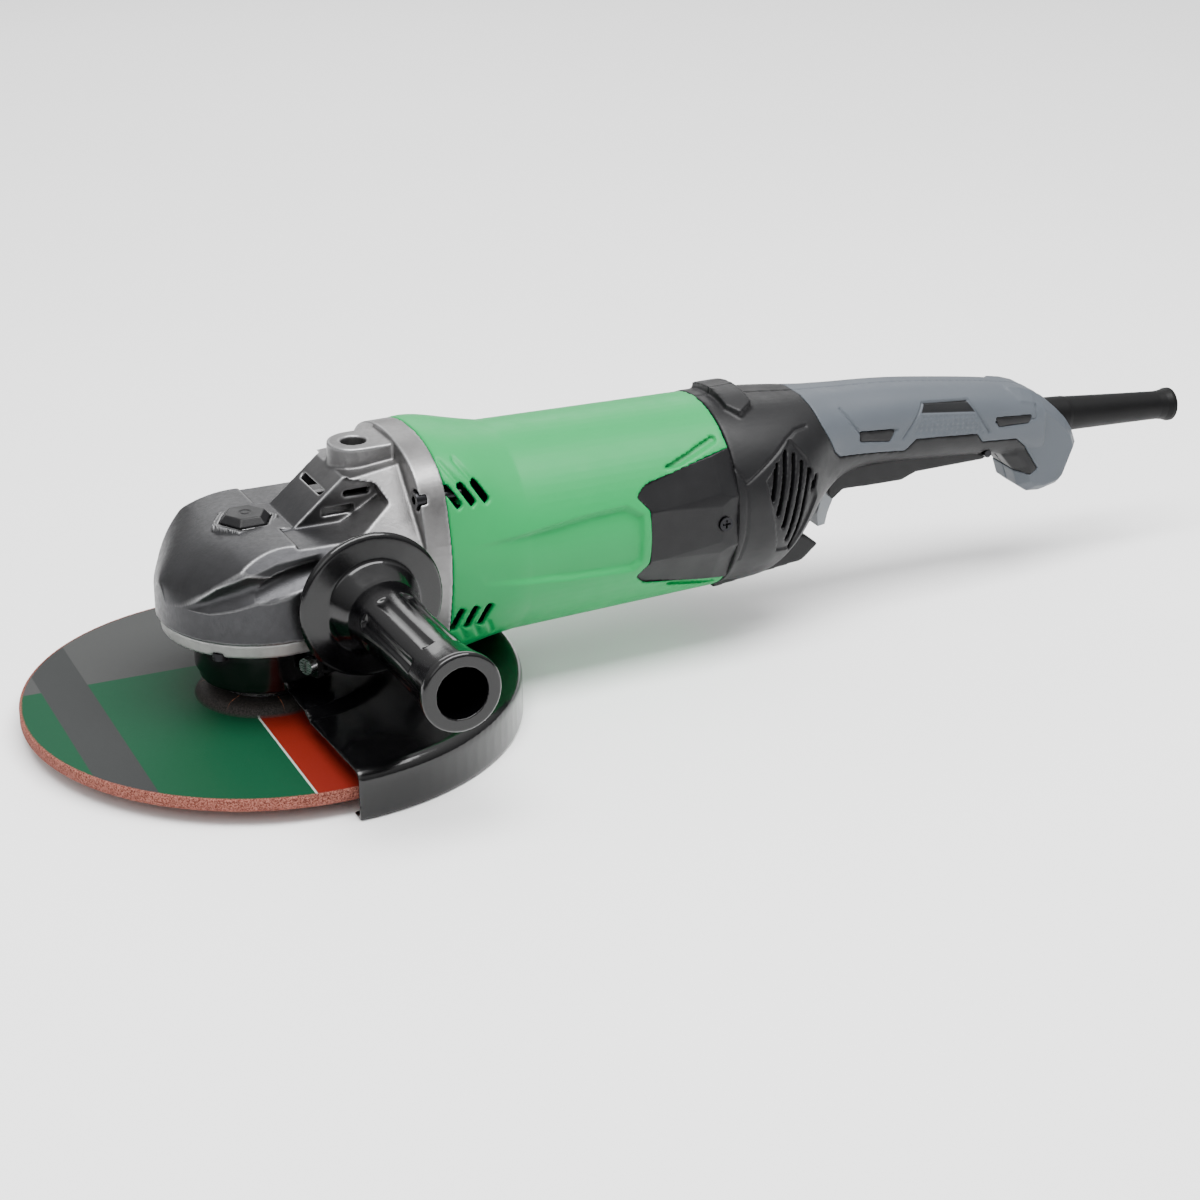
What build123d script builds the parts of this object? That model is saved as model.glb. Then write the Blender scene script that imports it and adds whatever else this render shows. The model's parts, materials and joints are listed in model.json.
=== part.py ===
from build123d import *

import math
import os

# Two-hand angle grinder for 230 mm wheels, in millimetres.
# X runs from the spindle to the rear handle, -Y points to the side handle, +Z up the spindle.
# The origin is on the spindle axis, at the upper face of the grinding wheel's rim.

os.makedirs("parts", exist_ok=True)

# Grinding wheel, depressed centre
wheel_r = 115
wheel_t = 6
wheel_bore_r = 11.12
hub_rise = 5
hub_r = 25
dish_r = 33

# Spindle and its seats
spindle_bottom = -13
spindle_top = 75
thread_r = 6.95
journal_r = 8.5
flange_r = 20.5
flange_top = 16
bearing_bottom = 22
bearing_width = 12
bearing_r = 20
top_journal_r = 5
top_bearing_r = 8.5
top_bearing_z = 65
running_gap = 0.03

# Motor line and body joints
motor_z = 62.6
case_joint_x = 77
tail_joint_x = 228
bulge_end_x = 118
body_r_front = 51.2
body_r_rear = 48.7
body_wall = 3

# Gear case
nose_r = 49
case_floor = 43.5
chamber_r = 40.5
chamber_top = 70
plateau_z = 85
spine_half = 17
boss_x = 49
boss_top = 117.5
boss_r = 12.5
m14_core_r = 6
case_flange_x = 64
button_x = -5.5
button_top = 91
button_r = 12.4
lock_travel = 4
pin_x = -13
pin_r = 2.5

case_screws = [(-38.5, 98.5), (38.5, 98.5), (-38, 26), (38, 26)]

# Bearing cover, guard and clamp
cover_r = 46.6
cover_screw_r = 44
cover_bottom = 36.5
neck_r = 28.3
neck_bottom = 18
collar_in_r = 28.6
collar_out_r = 30.4
collar_top = 35
guard_sheet = 2.2
guard_r = 122.5
guard_floor = -13.5
band_r = 32.2
clamp_angle = -64

# Bevel gears
gear_teeth = 40
pinion_teeth = 10
gear_module = 1.7
cone_share = 0.69
pressure_angle = 25
gear_addendum = 1.25
gear_dedendum = 2.35
pinion_addendum = 1.9
pinion_dedendum = 1.65
flank_gap = 0.14

# Side handle
handle_x = 33.8
handle_z = 59
handle_boss_r = 17.5
handle_face_y = 54
handle_end_y = 161
handle_flange_r = 35
stud_r = 5.97

# Motor
shaft_r = 6
shaft_rear_r = 4
stator_x0 = 112
stator_x1 = 172
stator_r = 45.6
armature_r = 24.4
commutator_r = 15
brush_x = 197
fan_x = 84
fan_blades = 16
brush_holder_end = 43

# Rear handle
pivot_x = 391
pivot_z = 59
trigger_half = 10
slot_half = 10.4
skin = 2.2
shell_wall = 3

motor_plane = Plane(origin=(0, 0, motor_z), x_dir=(1, 0, 0), z_dir=(0, -1, 0))
motor_axis = Axis((0, 0, motor_z), (1, 0, 0))
handle_plane = Plane(origin=(handle_x, 0, handle_z), x_dir=(0, -1, 0), z_dir=(-1, 0, 0))
handle_axis = Axis((handle_x, 0, handle_z), (0, -1, 0))


def across(x):
    """Plane across the motor line at x, local x to +Y and local y up, centred on the motor axis."""
    return Plane(origin=(x, 0, motor_z), x_dir=(0, 1, 0), z_dir=(1, 0, 0))


def save(piece, name):
    """Label a finished piece and write it to its own file."""
    piece.label = name
    export_step(piece, f"parts/{name}.step")


def ball_bearing(seat, bore_r, outer_r, width, balls):
    """Two races and a ring of balls about the seat plane's normal."""
    depth = outer_r - bore_r
    mid_r = (bore_r + outer_r) / 2
    race = depth * 0.3
    ball_r = depth * 0.27
    middle = seat.offset(width / 2)
    with BuildPart(middle) as bearing:
        for inner, outer in ((bore_r, bore_r + race), (outer_r - race, outer_r)):
            with BuildSketch(middle):
                Circle(outer)
                Circle(inner, mode=Mode.SUBTRACT)
            extrude(amount=width / 2, both=True)
        Torus(mid_r, ball_r + 0.05, mode=Mode.SUBTRACT)
        with PolarLocations(mid_r, balls):
            Sphere(ball_r)
    return bearing.part


def spring(base, radius, wire_r, height, turns):
    """Round-wire compression spring standing on the base plane."""
    with BuildPart() as coil:
        with BuildLine():
            path = Helix(
                pitch=height / turns,
                height=height,
                radius=radius,
                center=base.origin,
                direction=base.z_dir,
            )
        with BuildSketch(Plane(origin=path @ 0, z_dir=path % 0)):
            Circle(wire_r)
        sweep(is_frenet=True)
    return coil.part


# The fan section's outline, as radius against angle above the horizontal, one side only
outline_polar = [
    (-90, 47.0),
    (-67, 50.5),
    (-46, 57.0),
    (-32, 53.4),
    (-14, 50.2),
    (6, 50.4),
    (28, 53.2),
    (48, 59.0),
    (66, 58.9),
    (90, 57.6),
]


def fan_outline(inset, roundness):
    """Closed outline points; roundness 1 gives the plain round body."""
    points = []
    for angle, radius in outline_polar:
        r = radius + (body_r_front - radius) * roundness - inset
        points.append((r * math.cos(math.radians(angle)), r * math.sin(math.radians(angle))))
    mirrored = [(-px, py) for px, py in reversed(points[1:-1])]
    return points + mirrored


# ---------------------------------------------------------------- gear case

with BuildPart() as gear_case:
    # side view
    with BuildSketch(Plane.XZ):
        with BuildLine():
            Polyline((-nose_r, 63), (-nose_r, case_floor), (47, case_floor), (66, 18))
            Line((66, 18), (66, 110))
            Polyline((66, 110), (37, 107), (12, plateau_z + 1))
            ThreePointArc((12, plateau_z + 1), (-32, 79), (-nose_r, 63))
        make_face()
    extrude(amount=60, both=True)
    # plan view
    with BuildSketch():
        Circle(nose_r)
        with Locations((35, 0)):
            Rectangle(70, 2 * nose_r)
    extrude(amount=150, mode=Mode.INTERSECT)
    # front view, which leans in to the ridge
    with BuildSketch(Plane.YZ.offset(-60)):
        Polygon((-49, 0), (-49, 76), (-45, 81), (-17, 112), (17, 112), (45, 81), (49, 76), (49, 0), align=None)
    extrude(amount=140, mode=Mode.INTERSECT)
    # pockets beside the ridge
    for side in (-1, 1):
        with BuildSketch(Plane.XZ.offset(-side * spine_half)):
            Polygon(
                (5, plateau_z + 0.5),
                (34, plateau_z),
                (40, 88),
                (54, 96),
                (50, 104),
                (33, 108),
                (5, 108),
                align=None,
            )
        extrude(amount=-side * 40, mode=Mode.SUBTRACT)
    # long scoop under the shoulder on both sides
    for side in (-1, 1):
        scoop = Plane(origin=(-2, side * 53.5, 74), x_dir=(0, 1, 0), z_dir=(0.97, 0, 0.24))
        with BuildSketch(scoop):
            Circle(8)
        extrude(amount=34, both=True, mode=Mode.SUBTRACT)
    # rear flange in the fan section's outline
    with BuildSketch(across(case_flange_x)):
        with BuildLine():
            Spline(*fan_outline(0, 0), periodic=True)
        make_face()
    extrude(amount=case_joint_x - case_flange_x)
    # top handle boss, drawn out towards the flange
    with BuildSketch(Plane.XY.offset(100)):
        with Locations((boss_x, 0)):
            Circle(boss_r)
        with Locations((boss_x + 8, 0)):
            Rectangle(16, 2 * boss_r)
    extrude(amount=boss_top - 100)
    # side handle bosses
    with BuildSketch(Plane.XZ.offset(-handle_face_y)):
        with Locations((handle_x, handle_z)):
            Circle(handle_boss_r)
    extrude(amount=2 * handle_face_y)
    with BuildSketch(Plane.XY.offset(case_floor)):
        Circle(cover_r + 1.4)
    extrude(amount=-6, mode=Mode.SUBTRACT)
    # pedestal of the lock button
    with BuildSketch(Plane.XY.offset(70)):
        with Locations((button_x, 0)):
            RegularPolygon(button_r + 3.4, 6, rotation=0)
        fillet(vertices(), 4)
    extrude(amount=16.5)

    # gear chamber, open below, and the bearing seats standing in it
    with BuildSketch(Plane.XY.offset(case_floor)):
        Circle(chamber_r)
    extrude(amount=chamber_top - case_floor, mode=Mode.SUBTRACT)
    with BuildSketch(Plane.XY.offset(61)):
        Circle(top_bearing_r + 3)
        with Locations((pin_x, 0)):
            Circle(6.5)
    extrude(amount=chamber_top - 61 + 1)
    with BuildSketch(across(37.6)):
        Circle(16.5)
    extrude(amount=14)
    # air chamber behind the pinion bearing
    with BuildSketch(motor_plane):
        Polygon((51, 0), (51, 15), (67, 37.5), (78, 41), (78, 0), align=None)
    revolve(axis=motor_axis, mode=Mode.SUBTRACT)
    # pinion bearing seat and the pinion's way in
    with BuildSketch(across(38)):
        Circle(14)
    extrude(amount=8, mode=Mode.SUBTRACT)
    with BuildSketch(across(12)):
        Circle(11.5)
    extrude(amount=60, mode=Mode.SUBTRACT)
    # spindle's top bearing seat
    with BuildSketch(Plane.XY.offset(60)):
        Circle(top_bearing_r)
    extrude(amount=17, mode=Mode.SUBTRACT)
    # lock pin bore, spring well and button recess
    with BuildSketch(Plane.XY.offset(60)):
        with Locations((pin_x, 0)):
            Circle(pin_r + 0.1)
    extrude(amount=20, mode=Mode.SUBTRACT)
    with BuildSketch(Plane.XY.offset(70)):
        with Locations((pin_x, 0)):
            Circle(4.4)
    extrude(amount=12, mode=Mode.SUBTRACT)
    with BuildSketch(Plane.XY.offset(78.5)):
        with Locations((button_x, 0)):
            RegularPolygon(button_r + 0.6, 6)
    extrude(amount=10, mode=Mode.SUBTRACT)
    # air duct under the boss and its slots on both sides
    with BuildSketch(Plane.XY.offset(88)):
        with Locations((44, 0)):
            Rectangle(34, 2 * spine_half - 8)
    extrude(amount=12, mode=Mode.SUBTRACT)
    for x0, x1, z0, z1 in ((37, 50, 97, 100), (26, 42, 89, 93)):
        with Locations(((x0 + x1) / 2, 0, (z0 + z1) / 2)):
            Box(x1 - x0, 80, z1 - z0, mode=Mode.SUBTRACT)
    # handle holes: top, near side, far side
    with Locations((boss_x, 0, boss_top)):
        Hole(m14_core_r, depth=14)
    for side in (-1, 1):
        seat = Plane(origin=(handle_x, side * handle_face_y, handle_z), z_dir=(0, side, 0))
        with BuildSketch(seat):
            Circle(m14_core_r)
        extrude(amount=-20, mode=Mode.SUBTRACT)
    # screw recesses in the flange corners
    for y, z in case_screws:
        with BuildSketch(across(case_flange_x - 14)):
            with Locations((y, z - motor_z)):
                Circle(5)
        extrude(amount=18, mode=Mode.SUBTRACT)
        with BuildSketch(across(case_flange_x)):
            with Locations((y, z - motor_z)):
                Circle(2.6)
        extrude(amount=14, mode=Mode.SUBTRACT)
    # cover screw holes, tapped from below
    with BuildSketch(Plane.XY.offset(case_floor)):
        with PolarLocations(cover_screw_r, 4, start_angle=45):
            Circle(2.02)
    extrude(amount=12, mode=Mode.SUBTRACT)

save(gear_case.part, "gear_case")

with BuildPart() as gear_case_screws:
    for y, z in case_screws:
        with BuildSketch(across(case_flange_x + 4 - 5)):
            with Locations((y, z - motor_z)):
                Circle(4.4)
        extrude(amount=5)
        with BuildSketch(across(case_flange_x + 4)):
            with Locations((y, z - motor_z)):
                Circle(2.5)
        extrude(amount=18)
        with BuildSketch(across(case_flange_x - 1)):
            with Locations((y, z - motor_z)):
                RegularPolygon(2.3, 6)
        extrude(amount=3, mode=Mode.SUBTRACT)

save(gear_case_screws.part, "gear_case_screws")

# ---------------------------------------------------------------- bearing cover

with BuildPart() as bearing_cover:
    with BuildSketch(Plane.XZ):
        Polygon(
            (14, neck_bottom),
            (neck_r, neck_bottom),
            (neck_r, cover_bottom),
            (cover_r, cover_bottom),
            (cover_r + 1, case_floor),
            (chamber_r - 0.2, case_floor),
            (chamber_r - 0.2, case_floor + 2),
            (37.5, case_floor + 2),
            (35.5, case_floor - 3),
            (bearing_r, bearing_bottom + bearing_width + 1),
            (bearing_r, bearing_bottom),
            (14, bearing_bottom),
            align=None,
        )
    revolve(axis=Axis.Z)
    with BuildSketch(Plane.XY.offset(cover_bottom - 1)):
        with PolarLocations(cover_screw_r, 4, start_angle=45):
            Circle(2.1)
    extrude(amount=20, mode=Mode.SUBTRACT)
    with BuildSketch(Plane.XY.offset(cover_bottom)):
        with PolarLocations(cover_screw_r, 4, start_angle=45):
            Circle(3.7)
    extrude(amount=1.6, mode=Mode.SUBTRACT)

save(bearing_cover.part, "bearing_cover")

with BuildPart() as bearing_cover_screws:
    with BuildSketch(Plane.XY.offset(cover_bottom - 2)):
        with PolarLocations(cover_screw_r, 4, start_angle=45):
            Circle(3.6)
    extrude(amount=3.6)
    with BuildSketch(Plane.XY.offset(cover_bottom + 1.6)):
        with PolarLocations(cover_screw_r, 4, start_angle=45):
            Circle(2)
    extrude(amount=14)
    with BuildSketch(Plane.XY.offset(cover_bottom - 2)):
        with PolarLocations(cover_screw_r, 4, start_angle=45):
            Rectangle(5, 1)
            Rectangle(1, 5)
    extrude(amount=1.5, mode=Mode.SUBTRACT)

save(bearing_cover_screws.part, "bearing_cover_screws")

# ---------------------------------------------------------------- spindle and bearings

with BuildPart() as spindle:
    with BuildSketch(Plane.XZ):
        Polygon(
            (0, spindle_bottom),
            (thread_r - 0.9, spindle_bottom),
            (thread_r, spindle_bottom + 0.9),
            (thread_r, flange_top),
            (journal_r, flange_top),
            (journal_r, bearing_bottom + bearing_width),
            (10.5, bearing_bottom + bearing_width),
            (10.5, 42),
            (9, 42),
            (9, 55),
            (top_journal_r, 57),
            (top_journal_r, spindle_top),
            (0, spindle_top),
            align=None,
        )
    revolve(axis=Axis.Z)

save(spindle.part, "spindle")

lower_bearing = ball_bearing(
    Plane.XY.offset(bearing_bottom), journal_r + running_gap, bearing_r, bearing_width, 8
)
save(lower_bearing, "spindle_bearing_lower")

with BuildPart() as spindle_bearing_upper:
    with BuildSketch(Plane.XY.offset(top_bearing_z)):
        Circle(top_bearing_r)
        Circle(top_journal_r + running_gap, mode=Mode.SUBTRACT)
    extrude(amount=9)

save(spindle_bearing_upper.part, "spindle_bearing_upper")

with BuildPart() as dust_seal:
    with BuildSketch(Plane.XY.offset(neck_bottom + 0.5)):
        Circle(14)
        Circle(journal_r + 0.3, mode=Mode.SUBTRACT)
    extrude(amount=3)

save(dust_seal.part, "dust_seal")

with BuildPart() as inner_flange:
    with BuildSketch(Plane.XZ):
        Polygon(
            (thread_r, hub_rise + 0.4),
            (flange_r - 5, hub_rise + 0.4),
            (flange_r - 5, hub_rise),
            (flange_r, hub_rise),
            (flange_r, 12.5),
            (flange_r - 3.5, flange_top - 0.6),
            (12, flange_top),
            (thread_r, flange_top),
            align=None,
        )
    revolve(axis=Axis.Z)

save(inner_flange.part, "inner_flange")

with BuildPart() as grinding_wheel:
    with BuildSketch(Plane.XZ):
        with BuildLine():
            Polyline(
                (wheel_bore_r, hub_rise),
                (wheel_bore_r, hub_rise - wheel_t),
                (hub_r - 2.5, hub_rise - wheel_t),
                (dish_r - 2.5, -wheel_t),
                (wheel_r - 0.6, -wheel_t),
                (wheel_r, 0.6 - wheel_t),
                (wheel_r, -0.6),
                (wheel_r - 0.6, 0),
                (dish_r, 0),
            )
            Spline(
                (dish_r, 0), (hub_r + 5.5, 3.6), (hub_r, hub_rise), tangents=((-0.6, 1), (-1, 0))
            )
            Line((hub_r, hub_rise), (wheel_bore_r, hub_rise))
        make_face()
    revolve(axis=Axis.Z)

save(grinding_wheel.part, "grinding_wheel")

with BuildPart() as lock_nut:
    with BuildSketch(Plane.XZ):
        Polygon(
            (thread_r, -8),
            (18.4, -8),
            (19.4, -7),
            (19.4, hub_rise - wheel_t),
            (wheel_bore_r - 0.1, hub_rise - wheel_t),
            (wheel_bore_r - 0.1, 2.6),
            (thread_r, 2.6),
            align=None,
        )
    revolve(axis=Axis.Z)
    with BuildSketch(Plane.XY.offset(-8)):
        with PolarLocations(15, 4):
            Circle(2.5)
    extrude(amount=4, mode=Mode.SUBTRACT)

save(lock_nut.part, "lock_nut")

# ---------------------------------------------------------------- bevel gears

# The pitch cones meet in one apex on the motor line. Along the mesh line, e points out
# from the apex and n stands square to it, out of the gear and into the pinion.
gear_pitch_r = gear_module * gear_teeth / 2
pinion_pitch_r = gear_module * pinion_teeth / 2
cone_distance = math.hypot(gear_pitch_r, pinion_pitch_r)
e_x = gear_pitch_r / cone_distance
e_z = -pinion_pitch_r / cone_distance
half_tooth = math.pi * gear_module / 4 - flank_gap / 2
flank = math.tan(math.radians(pressure_angle))
pinion_back_r = pinion_pitch_r / e_x
pinion_base_r = pinion_back_r * math.cos(math.radians(pressure_angle))


def cone_point(scale, height):
    """Radius and z of a point height above the pitch line at the given share of the cone distance."""
    reach = cone_distance * scale
    lift = height * scale
    return (e_x * reach - e_z * lift, motor_z + e_z * reach + e_x * lift)


def involute_half_angle(r):
    """Half the pinion tooth's angle, seen from the back cone's centre, at radius r."""
    at_pitch = half_tooth / pinion_back_r
    roll_pitch = math.sqrt((pinion_back_r / pinion_base_r) ** 2 - 1)
    roll = math.sqrt(max((r / pinion_base_r) ** 2 - 1, 0))
    return at_pitch + (roll_pitch - math.atan(roll_pitch)) - (roll - math.atan(roll))


def gear_tooth_points(scale):
    """Rack-like tooth, wide at the foot, in the mesh plane with y towards the pinion."""
    foot = -gear_dedendum - 0.5
    low = half_tooth - foot * flank
    high = half_tooth - gear_addendum * flank
    return [(s * px * scale, py * scale) for s, px, py in ((-1, low, foot), (1, low, foot), (1, high, gear_addendum), (-1, high, gear_addendum))]


def pinion_tooth_points(scale):
    """Involute tooth on the pinion's back cone, pointing down towards the gear."""
    root = pinion_back_r - pinion_dedendum - 0.5
    tip = pinion_back_r + pinion_addendum
    radii = [root, pinion_base_r] + [pinion_base_r + (tip - pinion_base_r) * k / 5 for k in range(1, 6)]
    left = [(-r * math.sin(involute_half_angle(r)), pinion_back_r - r * math.cos(involute_half_angle(r))) for r in radii]
    right = [(-px, py) for px, py in reversed(left)]
    return [(px * scale, py * scale) for px, py in left + right]


def cone_plane(scale):
    """The mesh plane moved to a share of the cone distance."""
    reach = cone_distance * scale
    return Plane(origin=(e_x * reach, 0, motor_z + e_z * reach), x_dir=(0, 1, 0), z_dir=(e_x, 0, e_z))


def tooth(points_at):
    """One bevel tooth lofted between the inner and outer ends of the face."""
    with BuildPart() as piece:
        for scale in (cone_share, 1):
            with BuildSketch(cone_plane(scale)):
                Polygon(*points_at(scale), align=None)
        loft(ruled=True)
    return piece.part


gear_tooth = tooth(gear_tooth_points)
pinion_tooth = tooth(pinion_tooth_points)

with BuildPart() as bevel_gear:
    with BuildSketch(Plane.XZ):
        Polygon(
            (9, 42),
            (16, 42),
            (18, 45.5),
            (31, 47.5),
            cone_point(1, -gear_dedendum - 2.4),
            cone_point(1, -gear_dedendum),
            cone_point(cone_share, -gear_dedendum),
            (21, 53),
            (9, 53),
            align=None,
        )
    revolve(axis=Axis.Z)
    with PolarLocations(0, gear_teeth):
        add(gear_tooth)
    with BuildSketch(Plane.XY.offset(44)):
        with PolarLocations(-pin_x, 4):
            Circle(pin_r + 0.5)
    extrude(amount=20, mode=Mode.SUBTRACT)

save(bevel_gear.part, "bevel_gear")

pinion_small = cone_point(cone_share, pinion_dedendum)
pinion_large = cone_point(1, pinion_dedendum)

with BuildPart() as bevel_pinion:
    with BuildSketch(Plane.XZ):
        Polygon(
            (pinion_small[0], motor_z),
            pinion_small,
            pinion_large,
            (pinion_large[0] + 0.6, pinion_large[1] - 1),
            (37.3, motor_z - 7.4),
            (37.3, motor_z),
            align=None,
        )
    revolve(axis=motor_axis)
    with BuildSketch(across(20)):
        Circle(shaft_rear_r)
    extrude(amount=20, mode=Mode.SUBTRACT)

# the tooth at the mesh is a gap on the pinion, so its teeth start half a pitch on
with BuildPart() as pinion_teeth_ring:
    for k in range(pinion_teeth):
        add(pinion_tooth.rotate(motor_axis, 360 / pinion_teeth * (k + 0.5)))

with BuildPart() as bevel_pinion_whole:
    add(bevel_pinion.part)
    add(pinion_teeth_ring.part)

save(bevel_pinion_whole.part, "bevel_pinion")

# ---------------------------------------------------------------- guard and clamp

# Plane through the spindle axis and the side handle's side, where the guard's edge starts
guard_edge = Plane(origin=(0, 0, 0), x_dir=(0, -1, 0), z_dir=(-1, 0, 0))

with BuildPart() as wheel_guard:
    # sheet: raised centre, flat plate, rounded shoulder, skirt and a turned-in lip
    with BuildSketch(guard_edge):
        with BuildLine():
            Polyline(
                (collar_in_r, 15.5),
                (31, 15.5),
                (34, 13),
                (54, 12.3),
                (61, 9.2),
                (guard_r - 6, 10.4),
            )
            TangentArc((guard_r - 6, 10.4), (guard_r - 0.3, 5), tangent=(1, 0))
            Polyline((guard_r - 0.3, 5), (guard_r, guard_floor + 2))
            TangentArc((guard_r, guard_floor + 2), (guard_r - 2, guard_floor), tangent=(0, -1))
            Line((guard_r - 2, guard_floor), (guard_r - 8, guard_floor))
            Line((guard_r - 8, guard_floor), (guard_r - 8, guard_floor + guard_sheet))
            Line((guard_r - 8, guard_floor + guard_sheet), (guard_r - guard_sheet, guard_floor + guard_sheet))
            Line((guard_r - guard_sheet, guard_floor + guard_sheet), (guard_r - guard_sheet - 0.3, 4.6))
            TangentArc(
                (guard_r - guard_sheet - 0.3, 4.6), (guard_r - 6, 10.4 - guard_sheet), tangent=(0, 1)
            )
            Polyline(
                (guard_r - 6, 10.4 - guard_sheet),
                (60.4, 9.2 - guard_sheet),
                (53.4, 12.3 - guard_sheet),
                (collar_in_r, 13 - guard_sheet),
                (collar_in_r, 15.5),
            )
        make_face()
    revolve(axis=Axis.Z, revolution_arc=180)
    # collar all the way round
    with BuildSketch(Plane.XY.offset(13 - guard_sheet)):
        Circle(collar_out_r)
        Circle(collar_in_r, mode=Mode.SUBTRACT)
    extrude(amount=collar_top - 13 + guard_sheet)

save(wheel_guard.part, "wheel_guard")

band_low = 16.5
band_high = 33.5
ear_gap = 2.6
clamp_frame = Plane(
    origin=(0, 0, (band_low + band_high) / 2),
    x_dir=(math.cos(math.radians(clamp_angle)), math.sin(math.radians(clamp_angle)), 0),
    z_dir=(0, 0, 1),
)

with BuildPart(clamp_frame) as guard_clamp_band:
    with BuildSketch(clamp_frame):
        Circle(band_r)
    extrude(amount=(band_high - band_low) / 2, both=True)
    with Locations((band_r + 3.2, 0, 0)):
        Box(10, 11, 13)
    with BuildSketch(clamp_frame):
        Circle(collar_out_r + 0.02)
        with Locations((band_r + 4, 0)):
            Rectangle(16, ear_gap)
    extrude(amount=20, both=True, mode=Mode.SUBTRACT)
    with Locations((band_r + 4.4, 0, 0)):
        Cylinder(2.1, 30, rotation=(90, 0, 0), mode=Mode.SUBTRACT)

save(guard_clamp_band.part, "guard_clamp_band")

with BuildPart(clamp_frame) as guard_clamp_screw:
    with Locations((band_r + 4.4, 0, 0)):
        Cylinder(2.05, 14, rotation=(90, 0, 0))
    with Locations((band_r + 4.4, -7.5, 0)):
        Cylinder(4, 4, rotation=(90, 0, 0))
    with Locations((band_r + 4.4, 7, 0)):
        Cylinder(3.6, 3, rotation=(90, 0, 0))
    with Locations((band_r + 4.4, -9.5, 0)):
        Box(1.2, 2.4, 6, mode=Mode.SUBTRACT)

save(guard_clamp_screw.part, "guard_clamp_screw")

# ---------------------------------------------------------------- spindle lock

button_low = 83

with BuildPart() as spindle_lock_button:
    with BuildSketch(Plane.XY.offset(button_low)):
        with Locations((button_x, 0)):
            RegularPolygon(button_r, 6)
    extrude(amount=4.6)
    with BuildSketch(Plane.XY.offset(button_low + 4.6)):
        with Locations((button_x, 0)):
            RegularPolygon(button_r, 6)
    extrude(amount=button_top - button_low - 4.6, taper=38)
    with BuildSketch(Plane.XY.offset(button_low)):
        with Locations((pin_x, 0)):
            Circle(pin_r)
    extrude(amount=3, mode=Mode.SUBTRACT)

save(spindle_lock_button.part, "spindle_lock_button")

with BuildPart() as lock_pin:
    with BuildSketch(Plane.XY.offset(54.5)):
        with Locations((pin_x, 0)):
            Circle(pin_r)
    extrude(amount=button_low + 3 - 54.5)

save(lock_pin.part, "lock_pin")

lock_spring = spring(Plane(origin=(pin_x, 0, 70.5)), 3.5, 0.4, 12, 5)
save(lock_spring, "lock_spring")

# ---------------------------------------------------------------- side handle

with BuildPart() as side_handle_grip:
    with BuildSketch(handle_plane):
        with BuildLine():
            Polyline(
                (handle_face_y, 0),
                (handle_face_y, handle_flange_r - 1),
                (handle_face_y + 1, handle_flange_r),
                (handle_face_y + 3, handle_flange_r),
                (handle_face_y + 4.2, handle_flange_r - 1.5),
                (handle_face_y + 6, 22.5),
                (handle_face_y + 17, 17.2),
            )
            Spline(
                (handle_face_y + 17, 17.2),
                (handle_face_y + 26, 16.4),
                (handle_face_y + 62, 15.6),
                (handle_end_y - 20, 16.2),
                (handle_end_y - 3, 18.6),
            )
            Polyline((handle_end_y - 3, 18.6), (handle_end_y - 1, 18.6), (handle_end_y, 17.6))
            Line((handle_end_y, 17.6), (handle_end_y, 0))
            Line((handle_end_y, 0), (handle_face_y, 0))
        make_face()
    revolve(axis=handle_axis)
    # hollow end and the stud's socket
    with BuildSketch(Plane(origin=(handle_x, -handle_end_y, handle_z), z_dir=(0, -1, 0))):
        Circle(12)
    extrude(amount=-62, taper=1, mode=Mode.SUBTRACT)
    with BuildSketch(Plane(origin=(handle_x, -handle_face_y, handle_z), z_dir=(0, -1, 0))):
        Circle(8)
    extrude(amount=26, mode=Mode.SUBTRACT)
    # shallow lengthwise flutes
    with BuildSketch(Plane(origin=(handle_x, -handle_face_y - 30, handle_z), z_dir=(0, -1, 0))):
        with PolarLocations(19.6, 8, start_angle=22.5):
            Circle(5)
    extrude(amount=54, mode=Mode.SUBTRACT)

save(side_handle_grip.part, "side_handle_grip")

with BuildPart() as side_handle_stud:
    with BuildSketch(Plane(origin=(handle_x, -handle_face_y, handle_z), z_dir=(0, -1, 0))):
        Circle(8)
    extrude(amount=26)
    with BuildSketch(Plane(origin=(handle_x, -handle_face_y, handle_z), z_dir=(0, -1, 0))):
        Circle(stud_r)
    extrude(amount=-18)

save(side_handle_stud.part, "side_handle_stud")

# ---------------------------------------------------------------- motor housing

brush_cover_outline = [
    (tail_joint_x, 95.9),
    (179.8, 87.6),
    (174, 82.9),
    (180.5, 76),
    (180.5, 49),
    (174, 42),
    (179.8, 37),
    (tail_joint_x, 28.6),
]
brush_cover_deep_r = 46.8
wedge_floor_r = 46.7
fan_stations = [
    (case_joint_x, 0, 0),
    (88, 0.03, 0),
    (101, 0.45, 0),
    (bulge_end_x, 1, 0),
    (bulge_end_x + 4, 1, 0.9),
]
brush_cover_screw_x = 220.6


def housing_shell(inset):
    """The green body's outer shape, or the same shape moved inwards."""
    with BuildPart() as shape:
        # the last section dives under the round body
        for x, roundness, dive in fan_stations:
            with BuildSketch(across(x)):
                with BuildLine():
                    Spline(*fan_outline(inset + dive, roundness), periodic=True)
                make_face()
        loft()
        with BuildSketch(motor_plane):
            Polygon(
                (bulge_end_x - 6, 0),
                (bulge_end_x - 6, body_r_front - inset - 4),
                (bulge_end_x, body_r_front - inset),
                (tail_joint_x, body_r_rear - inset),
                (tail_joint_x, 0),
                align=None,
            )
        revolve(axis=motor_axis)
    return shape.part


housing_outer = housing_shell(0)
housing_middle = housing_shell(1.2)
housing_inner = housing_shell(body_wall + 0.2)

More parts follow.
